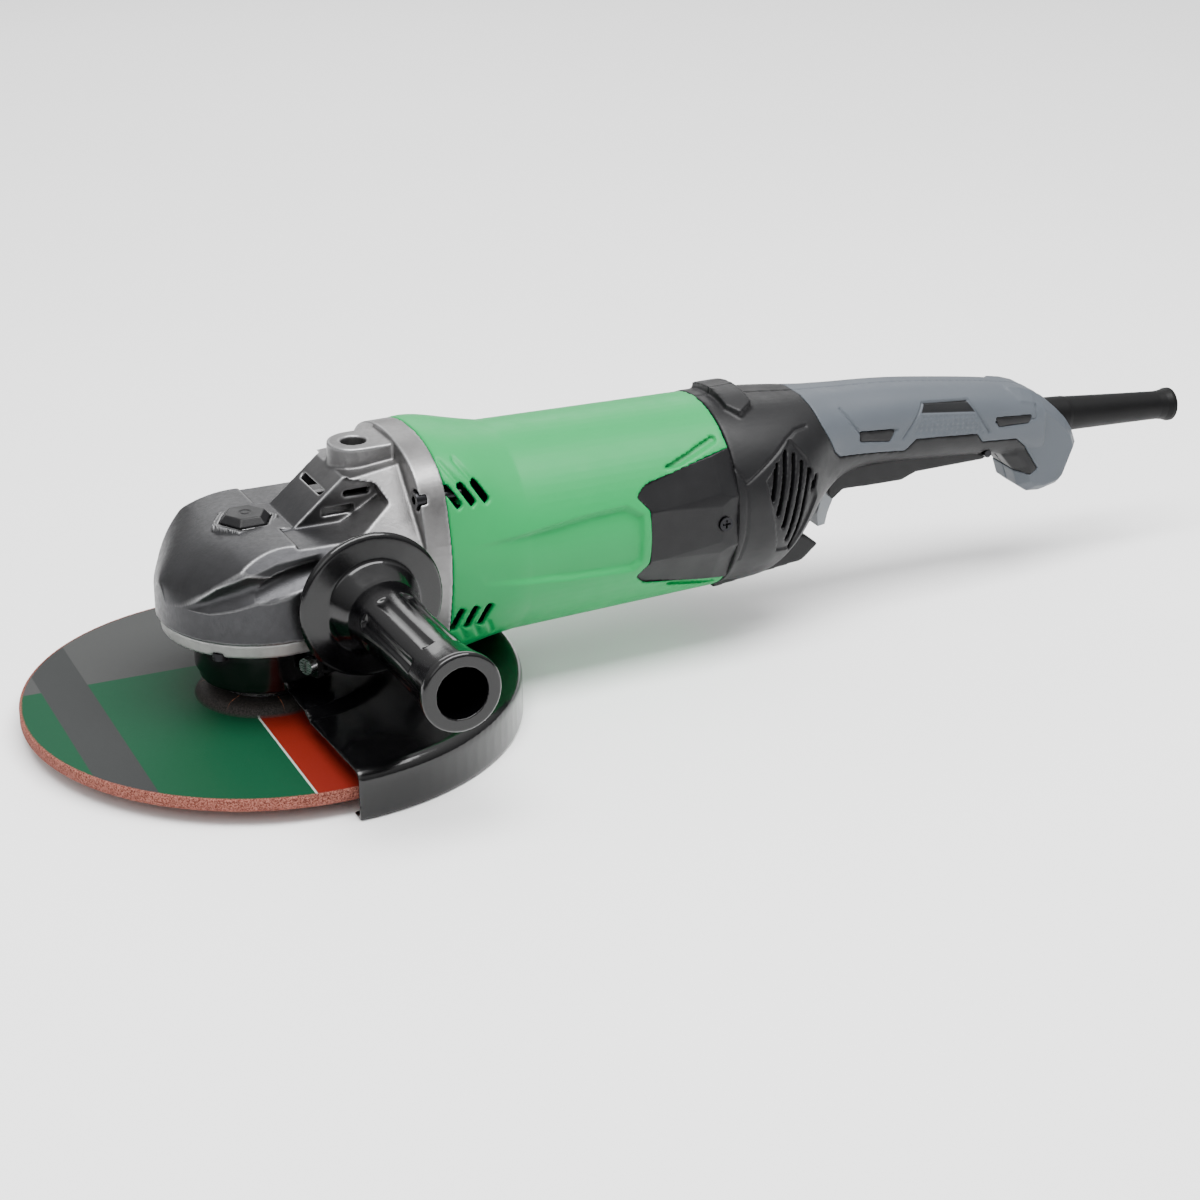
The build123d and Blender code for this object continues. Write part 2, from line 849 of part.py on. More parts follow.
# Everything within the brush covers' outlines and outside the deep radius, on both sides
with BuildPart() as cover_space:
    for side in (-1, 1):
        with BuildSketch(Plane.XZ):
            Polygon(*brush_cover_outline, align=None)
        extrude(amount=side * 60)
    with BuildSketch(motor_plane):
        Polygon(
            (170, 0),
            (170, brush_cover_deep_r),
            (tail_joint_x + 2, brush_cover_deep_r),
            (tail_joint_x + 2, 0),
            align=None,
        )
    revolve(axis=motor_axis, mode=Mode.SUBTRACT)

# Screw bosses in the corners of the fan section, ending inside its wall
with BuildPart() as corner_bosses:
    for y, z in case_screws:
        with BuildSketch(across(case_joint_x)):
            with Locations((y, z - motor_z)):
                Circle(5.6)
        extrude(amount=13)
    add(housing_middle, mode=Mode.INTERSECT)

# Hollow of the fan section
with BuildPart() as fan_space:
    add(housing_inner)
    with BuildSketch(across(106)):
        Rectangle(150, 150)
    extrude(amount=200, mode=Mode.SUBTRACT)

# Shallow wedge grooves behind the brush covers
with BuildPart() as wedge_grooves:
    for side in (-1, 1):
        for z0, z1 in ((92, 100.5), (33, 25)):
            with BuildSketch(Plane.XZ.offset(-side * 60)):
                Polygon(
                    (188, z0),
                    (tail_joint_x - 5, z1 + (z1 - z0) * 0.12),
                    (tail_joint_x - 4, z1 - (z1 - z0) * 0.2),
                    (200, z0),
                    align=None,
                )
            extrude(amount=side * 45)
    with BuildSketch(across(170)):
        Circle(wedge_floor_r)
    extrude(amount=70, mode=Mode.SUBTRACT)

with BuildPart() as motor_housing:
    add(housing_outer)
    # hollow fan section, then the stator's bore
    add(fan_space.part, mode=Mode.SUBTRACT)
    with BuildSketch(across(90)):
        Circle(stator_r)
    extrude(amount=122, mode=Mode.SUBTRACT)
    with BuildSketch(across(222)):
        Circle(stator_r - 0.8)
    extrude(amount=20, mode=Mode.SUBTRACT)
    # rear web: bearing boss, four spokes and open quarters between them
    with BuildSketch(across(200)):
        Circle(42)
        Circle(16, mode=Mode.SUBTRACT)
        Rectangle(100, 11, mode=Mode.SUBTRACT)
        Rectangle(11, 100, mode=Mode.SUBTRACT)
    extrude(amount=40, mode=Mode.SUBTRACT)
    with BuildSketch(across(213)):
        Circle(13)
    extrude(amount=20, mode=Mode.SUBTRACT)
    with BuildSketch(across(210)):
        Circle(6)
    extrude(amount=20, mode=Mode.SUBTRACT)
    add(corner_bosses.part)
    for y, z in case_screws:
        with BuildSketch(across(case_joint_x - 1)):
            with Locations((y, z - motor_z)):
                Circle(2.55)
        extrude(amount=12, mode=Mode.SUBTRACT)
    # seats of the brush covers and their screw holes
    add(cover_space.part, mode=Mode.SUBTRACT)
    for side in (-1, 1):
        with BuildSketch(Plane(origin=(brush_cover_screw_x, 0, motor_z), z_dir=(0, side, 0))):
            Circle(1.8)
        extrude(amount=60, mode=Mode.SUBTRACT)
        # brush holder windows
        with BuildSketch(Plane(origin=(brush_x, 0, motor_z), x_dir=(1, 0, 0), z_dir=(0, side, 0))):
            Rectangle(12.2, 18.2)
        extrude(amount=brush_holder_end, mode=Mode.SUBTRACT)
    # slanted vents over and under the side, both sides
    for side in (-1, 1):
        for k in range(3):
            x = 80.5 + 7.2 * k
            for z_mid, tilt in ((98.5, -32), (38, 24)):
                with BuildSketch(Plane(origin=(x, 0, z_mid), x_dir=(1, 0, 0), z_dir=(0, side, 0))):
                    Rectangle(3.6, 12, rotation=side * tilt)
                extrude(amount=70, mode=Mode.SUBTRACT)
    add(wedge_grooves.part, mode=Mode.SUBTRACT)

save(motor_housing.part, "motor_housing")

# ---------------------------------------------------------------- brush gear

for name, side in (("right", 1), ("left", -1)):
    with BuildPart() as brush_cover:
        add(cover_space.part)
        add(housing_outer, mode=Mode.INTERSECT)
        with BuildSketch(Plane.XZ):
            Rectangle(900, 900)
        extrude(amount=side * 90, mode=Mode.SUBTRACT)
        with BuildSketch(Plane(origin=(brush_cover_screw_x, side * 46.9, motor_z), z_dir=(0, side, 0))):
            Circle(1.9)
        extrude(amount=10, both=True, mode=Mode.SUBTRACT)
        with BuildSketch(Plane(origin=(brush_cover_screw_x, side * 47.6, motor_z), z_dir=(0, side, 0))):
            Circle(4.6)
        extrude(amount=10, mode=Mode.SUBTRACT)
    save(brush_cover.part, f"brush_cover_{name}")

with BuildPart() as brush_cover_screws:
    for side in (-1, 1):
        with BuildSketch(Plane(origin=(brush_cover_screw_x, side * 34, motor_z), z_dir=(0, side, 0))):
            Circle(1.75)
        extrude(amount=13.6)
        with BuildSketch(Plane(origin=(brush_cover_screw_x, side * 47.6, motor_z), z_dir=(0, side, 0))):
            Circle(3.5)
        extrude(amount=2)
        with BuildSketch(Plane(origin=(brush_cover_screw_x, side * 49.6, motor_z), z_dir=(0, side, 0))):
            Rectangle(4.4, 1)
            Rectangle(1, 4.4)
        extrude(amount=-1.2, mode=Mode.SUBTRACT)

save(brush_cover_screws.part, "brush_cover_screws")

with BuildPart() as brush_holders:
    for side in (-1, 1):
        holder = Plane(origin=(brush_x, side * 19, motor_z), x_dir=(1, 0, 0), z_dir=(0, side, 0))
        with BuildSketch(holder):
            Rectangle(12, 18)
            Rectangle(8.2, 14.2, mode=Mode.SUBTRACT)
        extrude(amount=brush_holder_end - 19)
        with BuildSketch(holder.offset(brush_holder_end - 20.6)):
            Rectangle(12, 18)
        extrude(amount=1.5)

save(brush_holders.part, "brush_holders")

with BuildPart() as carbon_brushes:
    for side in (-1, 1):
        with BuildSketch(Plane(origin=(brush_x, side * 12, motor_z), x_dir=(1, 0, 0), z_dir=(0, side, 0))):
            Rectangle(8, 14)
        extrude(amount=20)
    with BuildSketch(across(brush_x - 10)):
        Circle(commutator_r + running_gap)
    extrude(amount=20, mode=Mode.SUBTRACT)

save(carbon_brushes.part, "carbon_brushes")

near_spring = spring(Plane(origin=(brush_x, -32.5, motor_z), z_dir=(0, -1, 0)), 2.8, 0.35, 8.4, 5)
far_spring = spring(Plane(origin=(brush_x, 32.5, motor_z), z_dir=(0, 1, 0)), 2.8, 0.35, 8.4, 5)
save(Compound(children=[near_spring, far_spring]), "brush_springs")

# ---------------------------------------------------------------- armature

with BuildPart() as armature_shaft:
    with BuildSketch(motor_plane):
        Polygon(
            (21, 0),
            (21, shaft_rear_r - 0.6),
            (21.6, shaft_rear_r),
            (37.3, shaft_rear_r),
            (37.3, shaft_r),
            (210, shaft_r),
            (210, shaft_rear_r),
            (222, shaft_rear_r),
            (222, 0),
            align=None,
        )
    revolve(axis=motor_axis)

save(armature_shaft.part, "armature_shaft")

pinion_bearing = ball_bearing(across(38), shaft_r + running_gap, 14, 8, 8)
save(pinion_bearing, "pinion_bearing")

rear_bearing = ball_bearing(across(214), shaft_rear_r + running_gap, 11, 7, 7)
save(rear_bearing, "rear_bearing")

with BuildPart() as bearing_sleeve:
    with BuildSketch(across(213)):
        Circle(13)
        Circle(11, mode=Mode.SUBTRACT)
    extrude(amount=9)

save(bearing_sleeve.part, "bearing_sleeve")

with BuildPart() as cooling_fan:
    with BuildSketch(motor_plane):
        Polygon(
            (fan_x, shaft_r),
            (fan_x, 11),
            (fan_x + 9, 14),
            (fan_x + 12, 41.5),
            (fan_x + 14, 41.5),
            (fan_x + 14, shaft_r),
            align=None,
        )
    revolve(axis=motor_axis)
    with BuildSketch(across(fan_x + 1)):
        with PolarLocations(27, fan_blades):
            Rectangle(27, 1.4, rotation=18)
    extrude(amount=12.4)

save(cooling_fan.part, "cooling_fan")

with BuildPart() as fan_baffle:
    with BuildSketch(motor_plane):
        Polygon((101, 33), (103, 30), (104.5, 30), (104.5, stator_r), (101, stator_r), align=None)
    revolve(axis=motor_axis)

save(fan_baffle.part, "fan_baffle")

with BuildPart() as stator_core:
    with BuildSketch(across(stator_x0)):
        Circle(stator_r)
        Circle(armature_r + 0.8, mode=Mode.SUBTRACT)
        for side in (-1, 1):
            with Locations((side * 33, 0)):
                RectangleRounded(12, 34, 4, mode=Mode.SUBTRACT)
            with Locations((side * stator_r, 0)):
                Rectangle(2.4, 16, mode=Mode.SUBTRACT)
    extrude(amount=stator_x1 - stator_x0)

save(stator_core.part, "stator_core")

with BuildPart() as stator_coils:
    for x in (stator_x0 - 7, stator_x1 + 0.1):
        for middle in (90, -90):
            with BuildSketch(across(x)):
                Circle(42)
                Circle(28.5, mode=Mode.SUBTRACT)
                with Locations((0, math.copysign(40, middle))):
                    Rectangle(62, 60, mode=Mode.INTERSECT)
            extrude(amount=6.9)

save(stator_coils.part, "stator_coils")

with BuildPart() as armature_core:
    with BuildSketch(across(stator_x0)):
        Circle(armature_r)
        Circle(shaft_r, mode=Mode.SUBTRACT)
        with PolarLocations(armature_r - 2.6, 22):
            Rectangle(6.4, 2, mode=Mode.SUBTRACT)
    extrude(amount=stator_x1 - stator_x0)

save(armature_core.part, "armature_core")

with BuildPart() as armature_windings:
    for x0, x1 in ((stator_x0 - 6.5, stator_x0), (stator_x1, stator_x1 + 13)):
        with BuildSketch(motor_plane):
            Polygon(
                (x0, shaft_r),
                (x0, 15),
                (x0 + 2.5, 20.5),
                (x1 - 2.5, 20.5),
                (x1, 19),
                (x1, shaft_r),
                align=None,
            )
        revolve(axis=motor_axis)

save(armature_windings.part, "armature_windings")

with BuildPart() as commutator:
    with BuildSketch(across(stator_x1 + 13)):
        Circle(commutator_r)
        Circle(shaft_r, mode=Mode.SUBTRACT)
        with PolarLocations(commutator_r, 22):
            Rectangle(1.6, 0.5, mode=Mode.SUBTRACT)
    extrude(amount=22)

save(commutator.part, "commutator")

# ---------------------------------------------------------------- rear handle

# Sections as x, top z, bottom z, half width and corner radius
tail_sections = [
    (228.2, 111.0, 14.2, 48.4, 46.5),
    (246, 109.9, 15.5, 48.2, 45),
    (262, 108.2, 20, 45.5, 41),
    (276, 106.6, 33, 38.5, 33),
    (288, 105.4, 46, 30, 25),
    (300, 104.6, 56, 24.5, 20),
]
grip_sections = [
    (300, 104.6, 56, 24.5, 20),
    (318, 103.2, 61.5, 22.2, 17.5),
    (345, 100.8, 60.3, 21.2, 16.5),
    (380, 95.8, 57.2, 20.4, 16),
    (404, 91.6, 54, 19.8, 15.5),
    (424, 85, 51, 18.5, 14),
]
hook_outline = [
    (404, 91.6),
    (412, 90),
    (419, 87.6),
    (426, 83.5),
    (435, 75.7),
    (442, 68.6),
    (446, 62.5),
    (449, 54.6),
    (442, 37),
    (438, 33),
    (428, 30.8),
    (420, 31.5),
    (414, 36),
    (411, 45),
    (404, 53.5),
]
hook_half = 16.5
hook_round = 6.5
grip_zone = [
    (285, 112),
    (283, 104.4),
    (285.4, 95),
    (287.6, 90.6),
    (293.6, 79.7),
    (297.5, 76),
    (338, 70.8),
    (344, 76.5),
    (381, 73),
    (385, 67.8),
    (406, 66),
    (413, 60),
    (422, 46),
    (418, 43),
    (408, 46),
    (404, 20),
    (460, 20),
    (460, 112),
]
inlays = [
    [(309.8, 86.2), (331.5, 83.7), (328, 78), (310, 81)],
    [(392, 80), (415.5, 77.5), (413, 73.5), (394, 74.5)],
]
slot_x0 = 299
slot_x1 = 397
slot_top = 74
handle_screws_at = [(262, 92), (262, 40), (300, 86), (403, 74), (430, 44)]
cord_root = Vector(422, 0, 68.9)
cord_tip = Vector(511, 0, 62)
cord_direction = (cord_tip - cord_root).normalized()
cord_plane = Plane(origin=cord_root, x_dir=cord_direction, z_dir=(0, -1, 0))
cord_axis = Axis(cord_root, cord_direction)
cord_bore_r = 4.2
trigger_top = 63
lever_x = 305
lever_z = 50.5
top_pad_r = 51.9


def handle_body(inset):
    """Tail and grip, or the same shape moved inwards."""
    with BuildPart() as shape:
        for sections in (tail_sections, grip_sections):
            for x, z_top, z_bottom, half_width, corner_r in sections:
                middle = Plane(origin=(x, 0, (z_top + z_bottom) / 2), x_dir=(0, 1, 0), z_dir=(1, 0, 0))
                with BuildSketch(middle):
                    height = z_top - z_bottom - 2 * inset
                    RectangleRounded(2 * (half_width - inset), height, corner_r - inset)
            loft()
    return shape.part


def hook_body(inset):
    """The rear end with its downward hook, its sides leaning in near the edges."""
    with BuildPart() as shape:
        for side in (-1, 1):
            with BuildSketch(Plane.XZ):
                Polygon(*hook_outline, align=None)
                offset(amount=-inset - 0.01, kind=Kind.INTERSECTION)
            extrude(amount=side * (hook_half - hook_round))
            with BuildSketch(Plane.XZ.offset(side * (hook_half - hook_round))):
                Polygon(*hook_outline, align=None)
                offset(amount=-inset - 0.01, kind=Kind.INTERSECTION)
            extrude(amount=side * (hook_round - inset), taper=38)
    return shape.part


handle_outer = handle_body(0)
handle_inner = handle_body(skin)
hook_outer = hook_body(0)
hook_inner = hook_body(skin)
handle_hollow = handle_body(skin + shell_wall)

# Angular pad that wraps over the top of the tail
with BuildPart() as top_pad:
    with BuildSketch(Plane.XY.offset(98)):
        Polygon((236, -18), (241, -24), (250, -18), (250, 18), (241, 24), (236, 18), align=None)
    extrude(amount=20)
    with BuildSketch(across(230)):
        Circle(top_pad_r)
    extrude(amount=30, mode=Mode.INTERSECT)

with BuildPart() as whole_handle:
    add(handle_outer)
    add(hook_outer)
    # skid under the tail
    with BuildSketch(Plane.XZ):
        Polygon((228.2, 17), (279, 22.5), (288, 30), (282, 35), (262, 44), (228.2, 44), align=None)
    extrude(amount=22, both=True)
    add(top_pad.part)

with BuildPart() as skin_zone:
    with BuildSketch(Plane.XZ):
        Polygon(*grip_zone, align=None)
        for outline in inlays:
            Polygon(*outline, align=None, mode=Mode.SUBTRACT)
    extrude(amount=60, both=True)
    add(whole_handle.part, mode=Mode.INTERSECT)
    add(handle_inner, mode=Mode.SUBTRACT)
    add(hook_inner, mode=Mode.SUBTRACT)

# Screw bosses, spring shelf, cord clamp posts and switch ribs, ending in the walls
with BuildPart() as inner_ribs:
    for x, z in handle_screws_at:
        with BuildSketch(Plane.XZ):
            with Locations((x, z)):
                Circle(5.6)
        extrude(amount=50, both=True)
    with Locations((312, 0, 81)):
        Box(12, 40, 3)
    for side in (-1, 1):
        with Locations((412.5, side * 9.5, 62.5)):
            Box(6, 6, 15)
        with Locations((339, side * 16.5, 81)):
            Box(40, 8, 3)
    add(handle_inner, mode=Mode.INTERSECT)

# What both shells share before they are split at y = 0
with BuildPart() as handle_shells:
    add(whole_handle.part)
    add(skin_zone.part, mode=Mode.SUBTRACT)
    add(handle_hollow, mode=Mode.SUBTRACT)
    with BuildSketch(Plane.XZ):
        Polygon((418, 48), (438, 48), (440, 45), (436.5, 38), (424, 36.5), (419, 41), align=None)
        with Locations(handle_screws_at[4]):
            Circle(5.6, mode=Mode.SUBTRACT)
    extrude(amount=10.5, both=True, mode=Mode.SUBTRACT)
    add(inner_ribs.part)
    # trigger slot and the trigger's pivot hole
    with Locations(((slot_x0 + slot_x1) / 2, 0, slot_top - 30)):
        Box(slot_x1 - slot_x0, 2 * slot_half, 60, mode=Mode.SUBTRACT)
    with BuildSketch(Plane.XZ):
        with Locations((pivot_x, pivot_z)):
            Circle(2.05)
    extrude(amount=16.1, both=True, mode=Mode.SUBTRACT)
    # slit ahead of the slot for the lock-off lever
    with Locations((lever_x - 12, 0, lever_z + 0.5)):
        Box(14, 10, 30, mode=Mode.SUBTRACT)
    # seat of the switch
    with Locations((339, 0, 81)):
        Box(42.2, 24.2, 20.2, mode=Mode.SUBTRACT)
    # cord guard's way out and the groove of its flange
    with BuildSketch(Plane(origin=cord_root, z_dir=cord_direction)):
        Circle(9.5)
    extrude(amount=40, mode=Mode.SUBTRACT)
    with BuildSketch(Plane(origin=cord_root, z_dir=cord_direction)):
        Circle(11.6)
    extrude(amount=4.1, mode=Mode.SUBTRACT)
    # cord clamp's screw holes
    for side in (-1, 1):
        with BuildSketch(Plane.XY.offset(70)):
            with Locations((412.5, side * 9.5)):
                Circle(1.5)
        extrude(amount=-8, mode=Mode.SUBTRACT)
    # screws: shank, then the head's recess on the +Y side
    for x, z in handle_screws_at:
        with BuildSketch(Plane.XZ):
            with Locations((x, z)):
                Circle(2)
        extrude(amount=10, both=True, mode=Mode.SUBTRACT)
        with BuildSketch(Plane.XZ.offset(-8)):
            with Locations((x, z)):
                Circle(4.1)
        extrude(amount=-60, mode=Mode.SUBTRACT)
    # louvres in a diamond on both sides
    for side in (-1, 1):
        with BuildSketch(Plane.XZ.offset(-side * 26)):
            for k in range(6):
                with Locations((247 + 5.4 * k, 66)):
                    Rectangle(2.2, 70, rotation=-14)
            Polygon((242, 80), (260, 92), (278, 74), (261, 36), align=None, mode=Mode.INTERSECT)
        extrude(amount=-side * 40, mode=Mode.SUBTRACT)

for name, side in (("right", 1), ("left", -1)):
    with BuildPart() as handle_shell:
        add(handle_shells.part)
        with Locations((340, side * 60, 70)):
            Box(300, 120, 200, mode=Mode.SUBTRACT)
    save(handle_shell.part, f"handle_shell_{name}")

for name, side in (("right", 1), ("left", -1)):
    with BuildPart() as grip:
        add(skin_zone.part)
        with Locations((340, side * 60, 70)):
            Box(300, 120, 200, mode=Mode.SUBTRACT)
        with Locations(((slot_x0 + slot_x1) / 2, 0, slot_top - 30)):
            Box(slot_x1 - slot_x0, 2 * slot_half, 60, mode=Mode.SUBTRACT)
        with BuildSketch(Plane(origin=cord_root, z_dir=cord_direction)):
            Circle(9.6)
        extrude(amount=40, mode=Mode.SUBTRACT)
        for x, z in handle_screws_at:
            with BuildSketch(Plane.XZ.offset(-8)):
                with Locations((x, z)):
                    Circle(4.1)
            extrude(amount=-60, mode=Mode.SUBTRACT)
    save(grip.part, f"grip_{name}")

with BuildPart() as handle_screws:
    for x, z in handle_screws_at:
        with BuildSketch(Plane.XZ.offset(9)):
            with Locations((x, z)):
                Circle(1.95)
        extrude(amount=-17)
        with BuildSketch(Plane.XZ.offset(-8)):
            with Locations((x, z)):
                Circle(3.7)
        extrude(amount=-3)
        with BuildSketch(Plane.XZ.offset(-11)):
            with Locations((x, z)):
                Rectangle(4.6, 0.9)
                Rectangle(0.9, 4.6)
        extrude(amount=1.6, mode=Mode.SUBTRACT)

save(handle_screws.part, "handle_screws")

# ---------------------------------------------------------------- trigger and switch

with BuildPart() as trigger:
    with BuildSketch(Plane.XZ):
        Polygon(
            (301, trigger_top),
            (300, 61),
            (300.5, 50),
            (303, 47),
            (309, 51.5),
            (320, 51),
            (343, 50.4),
            (351.6, 53.5),
            (391, 53.8),
            (391, trigger_top),
            align=None,
        )
        with Locations((pivot_x, pivot_z)):
            Circle(5.2)
        fillet(vertices().sort_by(Axis.Z)[:1], 2)
    extrude(amount=trigger_half, both=True)
    with BuildSketch(Plane.XZ):
        with Locations((pivot_x, pivot_z)):
            Circle(2.05)
    extrude(amount=20, both=True, mode=Mode.SUBTRACT)
    # slot and pin hole of the lock-off lever
    with Locations((303.5, 0, 48)):
        Box(14, 8.6, 20, mode=Mode.SUBTRACT)
    with BuildSketch(Plane.XZ):
        with Locations((lever_x, lever_z)):
            Circle(1.5)
    extrude(amount=9.5, both=True, mode=Mode.SUBTRACT)
    # spring seat
    with BuildSketch(Plane.XY.offset(trigger_top - 1)):
        with Locations((313, 0)):
            Circle(5)
            Circle(2.6, mode=Mode.SUBTRACT)
    extrude(amount=2, mode=Mode.SUBTRACT)

save(trigger.part, "trigger")

with BuildPart() as trigger_pin:
    with BuildSketch(Plane.XZ):
        with Locations((pivot_x, pivot_z)):
            Circle(2)
    extrude(amount=16, both=True)

save(trigger_pin.part, "trigger_pin")

trigger_spring = spring(Plane(origin=(313, 0, trigger_top - 0.45)), 3.8, 0.4, 16.4, 6)
save(trigger_spring, "trigger_spring")

with BuildPart() as lock_off_lever:
    with BuildSketch(Plane.XZ):
        Polygon(
            (302, 52.5),
            (308, 50),
            (306.5, 45),
            (303.6, 38),
            (302, 31.5),
            (298, 31),
            (297.5, 38),
            (299.5, 46),
            align=None,
        )
        with Locations((lever_x, lever_z)):
            Circle(3.6)
            Circle(1.5, mode=Mode.SUBTRACT)
    extrude(amount=4, both=True)

save(lock_off_lever.part, "lock_off_lever")

with BuildPart() as lock_off_pin:
    with BuildSketch(Plane.XZ):
        with Locations((lever_x, lever_z)):
            Circle(1.45)
    extrude(amount=9.4, both=True)

save(lock_off_pin.part, "lock_off_pin")

with BuildPart() as switch_body:
    with Locations((339, 0, 81)):
        Box(42, 24, 20)
    fillet(edges().filter_by(Axis.Z), 1.5)
    with BuildSketch(Plane.XY.offset(71)):
        with Locations((329, 0)):
            Circle(3.05)
    extrude(amount=12, mode=Mode.SUBTRACT)
    for x in (344, 353):
        with Locations((x, 0, 91)):
            Box(5, 14, 6, mode=Mode.SUBTRACT)

save(switch_body.part, "switch_body")

with BuildPart() as switch_plunger:
    with BuildSketch(Plane.XY.offset(66.3)):
        with Locations((329, 0)):
            Circle(3)
    extrude(amount=10)
    with Locations((329, 0, 66.3)):
        Sphere(3)

save(switch_plunger.part, "switch_plunger")

# ---------------------------------------------------------------- cord guard

with BuildPart() as cord_guard:
    with BuildSketch(cord_plane):
        Polygon(
            (0, cord_bore_r),
            (0, 11.5),
            (4, 11.5),
            (4, 9.4),
            (24, 9.4),
            (26, 9.1),
            (60, 8.1),
            (84, 7.5),
            (88, 7.9),
            (91, 8.8),
            (93, 8.8),
            (93, 7.6),
            (86, cord_bore_r),
            align=None,
        )
    revolve(axis=cord_axis)

save(cord_guard.part, "cord_guard")

with BuildPart() as cord_clamp:
    with Locations((412.5, 0, 73.2)):
        Box(6, 24, 6.2)
    with BuildSketch(Plane(origin=cord_root, z_dir=cord_direction)):
        Circle(cord_bore_r)
    extrude(amount=30, both=True, mode=Mode.SUBTRACT)
    with Locations((412.5, -9.5, 76.3), (412.5, 9.5, 76.3)):
        Hole(1.5, depth=7)

save(cord_clamp.part, "cord_clamp")

with BuildPart() as cord_clamp_screws:
    for side in (-1, 1):
        with BuildSketch(Plane.XY.offset(63)):
            with Locations((412.5, side * 9.5)):
                Circle(1.45)
        extrude(amount=13.3)
        with BuildSketch(Plane.XY.offset(76.3)):
            with Locations((412.5, side * 9.5)):
                Circle(2.6)
        extrude(amount=2)
        with BuildSketch(Plane.XY.offset(77.3)):
            with Locations((412.5, side * 9.5)):
                Rectangle(3.6, 0.8)
        extrude(amount=2, mode=Mode.SUBTRACT)

save(cord_clamp_screws.part, "cord_clamp_screws")
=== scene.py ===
"""Looks for the angle grinder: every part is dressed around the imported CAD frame, in metres."""

import json
import math

import bpy
import numpy as np
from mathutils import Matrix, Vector


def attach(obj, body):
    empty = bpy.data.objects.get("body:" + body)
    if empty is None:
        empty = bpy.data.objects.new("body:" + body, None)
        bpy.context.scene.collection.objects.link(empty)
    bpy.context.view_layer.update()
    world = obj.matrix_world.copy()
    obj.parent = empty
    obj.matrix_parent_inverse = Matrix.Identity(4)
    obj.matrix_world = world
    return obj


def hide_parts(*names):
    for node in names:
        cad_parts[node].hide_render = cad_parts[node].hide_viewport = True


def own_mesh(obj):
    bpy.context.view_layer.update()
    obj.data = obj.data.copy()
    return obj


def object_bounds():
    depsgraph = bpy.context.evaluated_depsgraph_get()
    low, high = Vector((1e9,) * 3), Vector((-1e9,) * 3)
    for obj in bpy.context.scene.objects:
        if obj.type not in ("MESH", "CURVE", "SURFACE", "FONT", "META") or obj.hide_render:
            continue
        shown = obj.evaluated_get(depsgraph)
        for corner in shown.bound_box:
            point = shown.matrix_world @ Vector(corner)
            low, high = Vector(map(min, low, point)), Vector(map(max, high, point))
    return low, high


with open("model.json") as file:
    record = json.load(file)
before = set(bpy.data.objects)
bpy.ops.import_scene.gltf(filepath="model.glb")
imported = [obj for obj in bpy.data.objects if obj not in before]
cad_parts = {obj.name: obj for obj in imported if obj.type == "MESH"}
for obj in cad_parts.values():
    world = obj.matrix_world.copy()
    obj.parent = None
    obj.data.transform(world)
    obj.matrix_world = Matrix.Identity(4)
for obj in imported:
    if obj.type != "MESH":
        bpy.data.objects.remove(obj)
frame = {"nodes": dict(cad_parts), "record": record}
cad_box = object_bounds()

MM = 0.001
NODES = frame["nodes"]
BODY_OF = {n: b for b, ns in frame["record"]["behaviour"]["bodies"].items() for n in ns}
SLOT_OF = {s["node"]: s["material_slot"] for s in frame["record"]["subparts"]}

# Places that the looks share with the parts, in millimetres
MOTOR_Z = 62.6
NOSE_R = 49.0
BUTTON_X = -5.5


def add_object(name, data):
    made = bpy.data.objects.new(name, data)
    bpy.context.scene.collection.objects.link(made)
    return made


# ---------------------------------------------------------------- shader nodes


class Shader:
    """A Principled material built one node at a time, in object coordinates."""

    def __init__(self, name, **sockets):
        self.mat = bpy.data.materials.new(name)
        self.mat.use_nodes = True
        self.tree = self.mat.node_tree
        self.bsdf = next(n for n in self.tree.nodes if n.type == "BSDF_PRINCIPLED")
        for key, value in sockets.items():
            self.bsdf.inputs[key.replace("_", " ")].default_value = value
        self.coords = self.tree.nodes.new("ShaderNodeTexCoord").outputs["Object"]

    def node(self, kind, inputs=None, **settings):
        made = self.tree.nodes.new("ShaderNode" + kind)
        for key, value in settings.items():
            setattr(made, key, value)
        for key, value in (inputs or {}).items():
            self.feed(made.inputs[key], value)
        return made

    def feed(self, socket, value):
        if isinstance(value, bpy.types.NodeSocket):
            self.tree.links.new(value, socket)
        else:
            socket.default_value = value

    def math(self, operation, *values, clamp=False):
        made = self.node("Math", dict(enumerate(values)), operation=operation, use_clamp=clamp)
        return made.outputs[0]

    def noise(self, scale, detail=3.0, roughness=0.5, stretch=None):
        vector = self.coords
        if stretch:
            vector = self.node("Mapping", {"Vector": self.coords, "Scale": stretch}).outputs[0]
        made = self.node(
            "TexNoise", {"Vector": vector, "Scale": scale, "Detail": detail, "Roughness": roughness}
        )
        return made.outputs["Fac"]

    def ramp(self, value, low, high, out_low=0.0, out_high=1.0):
        limits = {"From Min": low, "From Max": high, "To Min": out_low, "To Max": out_high}
        made = self.node("MapRange", {"Value": value, **limits})
        made.clamp = True
        return made.outputs[0]

    def patchy(self, noise, low=0.0, high=1.0):
        """A noise's middle values, spread from low to high."""
        return self.ramp(noise, 0.3, 0.7, low, high)

    def mix(self, factor, a, b):
        made = self.node("Mix", {"Factor": factor}, data_type="RGBA")
        self.feed(made.inputs[6], a)
        self.feed(made.inputs[7], b)
        return made.outputs[2]

    def set(self, socket, value):
        self.feed(self.bsdf.inputs[socket], value)

    def bump(self, *layers):
        """Layers of (height socket, distance in millimetres)."""
        normal = None
        for height, distance in layers:
            made = self.node("Bump", {"Height": height, "Strength": 1.0, "Distance": distance * MM})
            if normal is not None:
                self.feed(made.inputs["Normal"], normal)
            normal = made.outputs["Normal"]
        self.set("Normal", normal)

    def separate(self):
        parts = self.node("SeparateXYZ", {"Vector": self.coords}).outputs
        return parts[0], parts[1], parts[2]


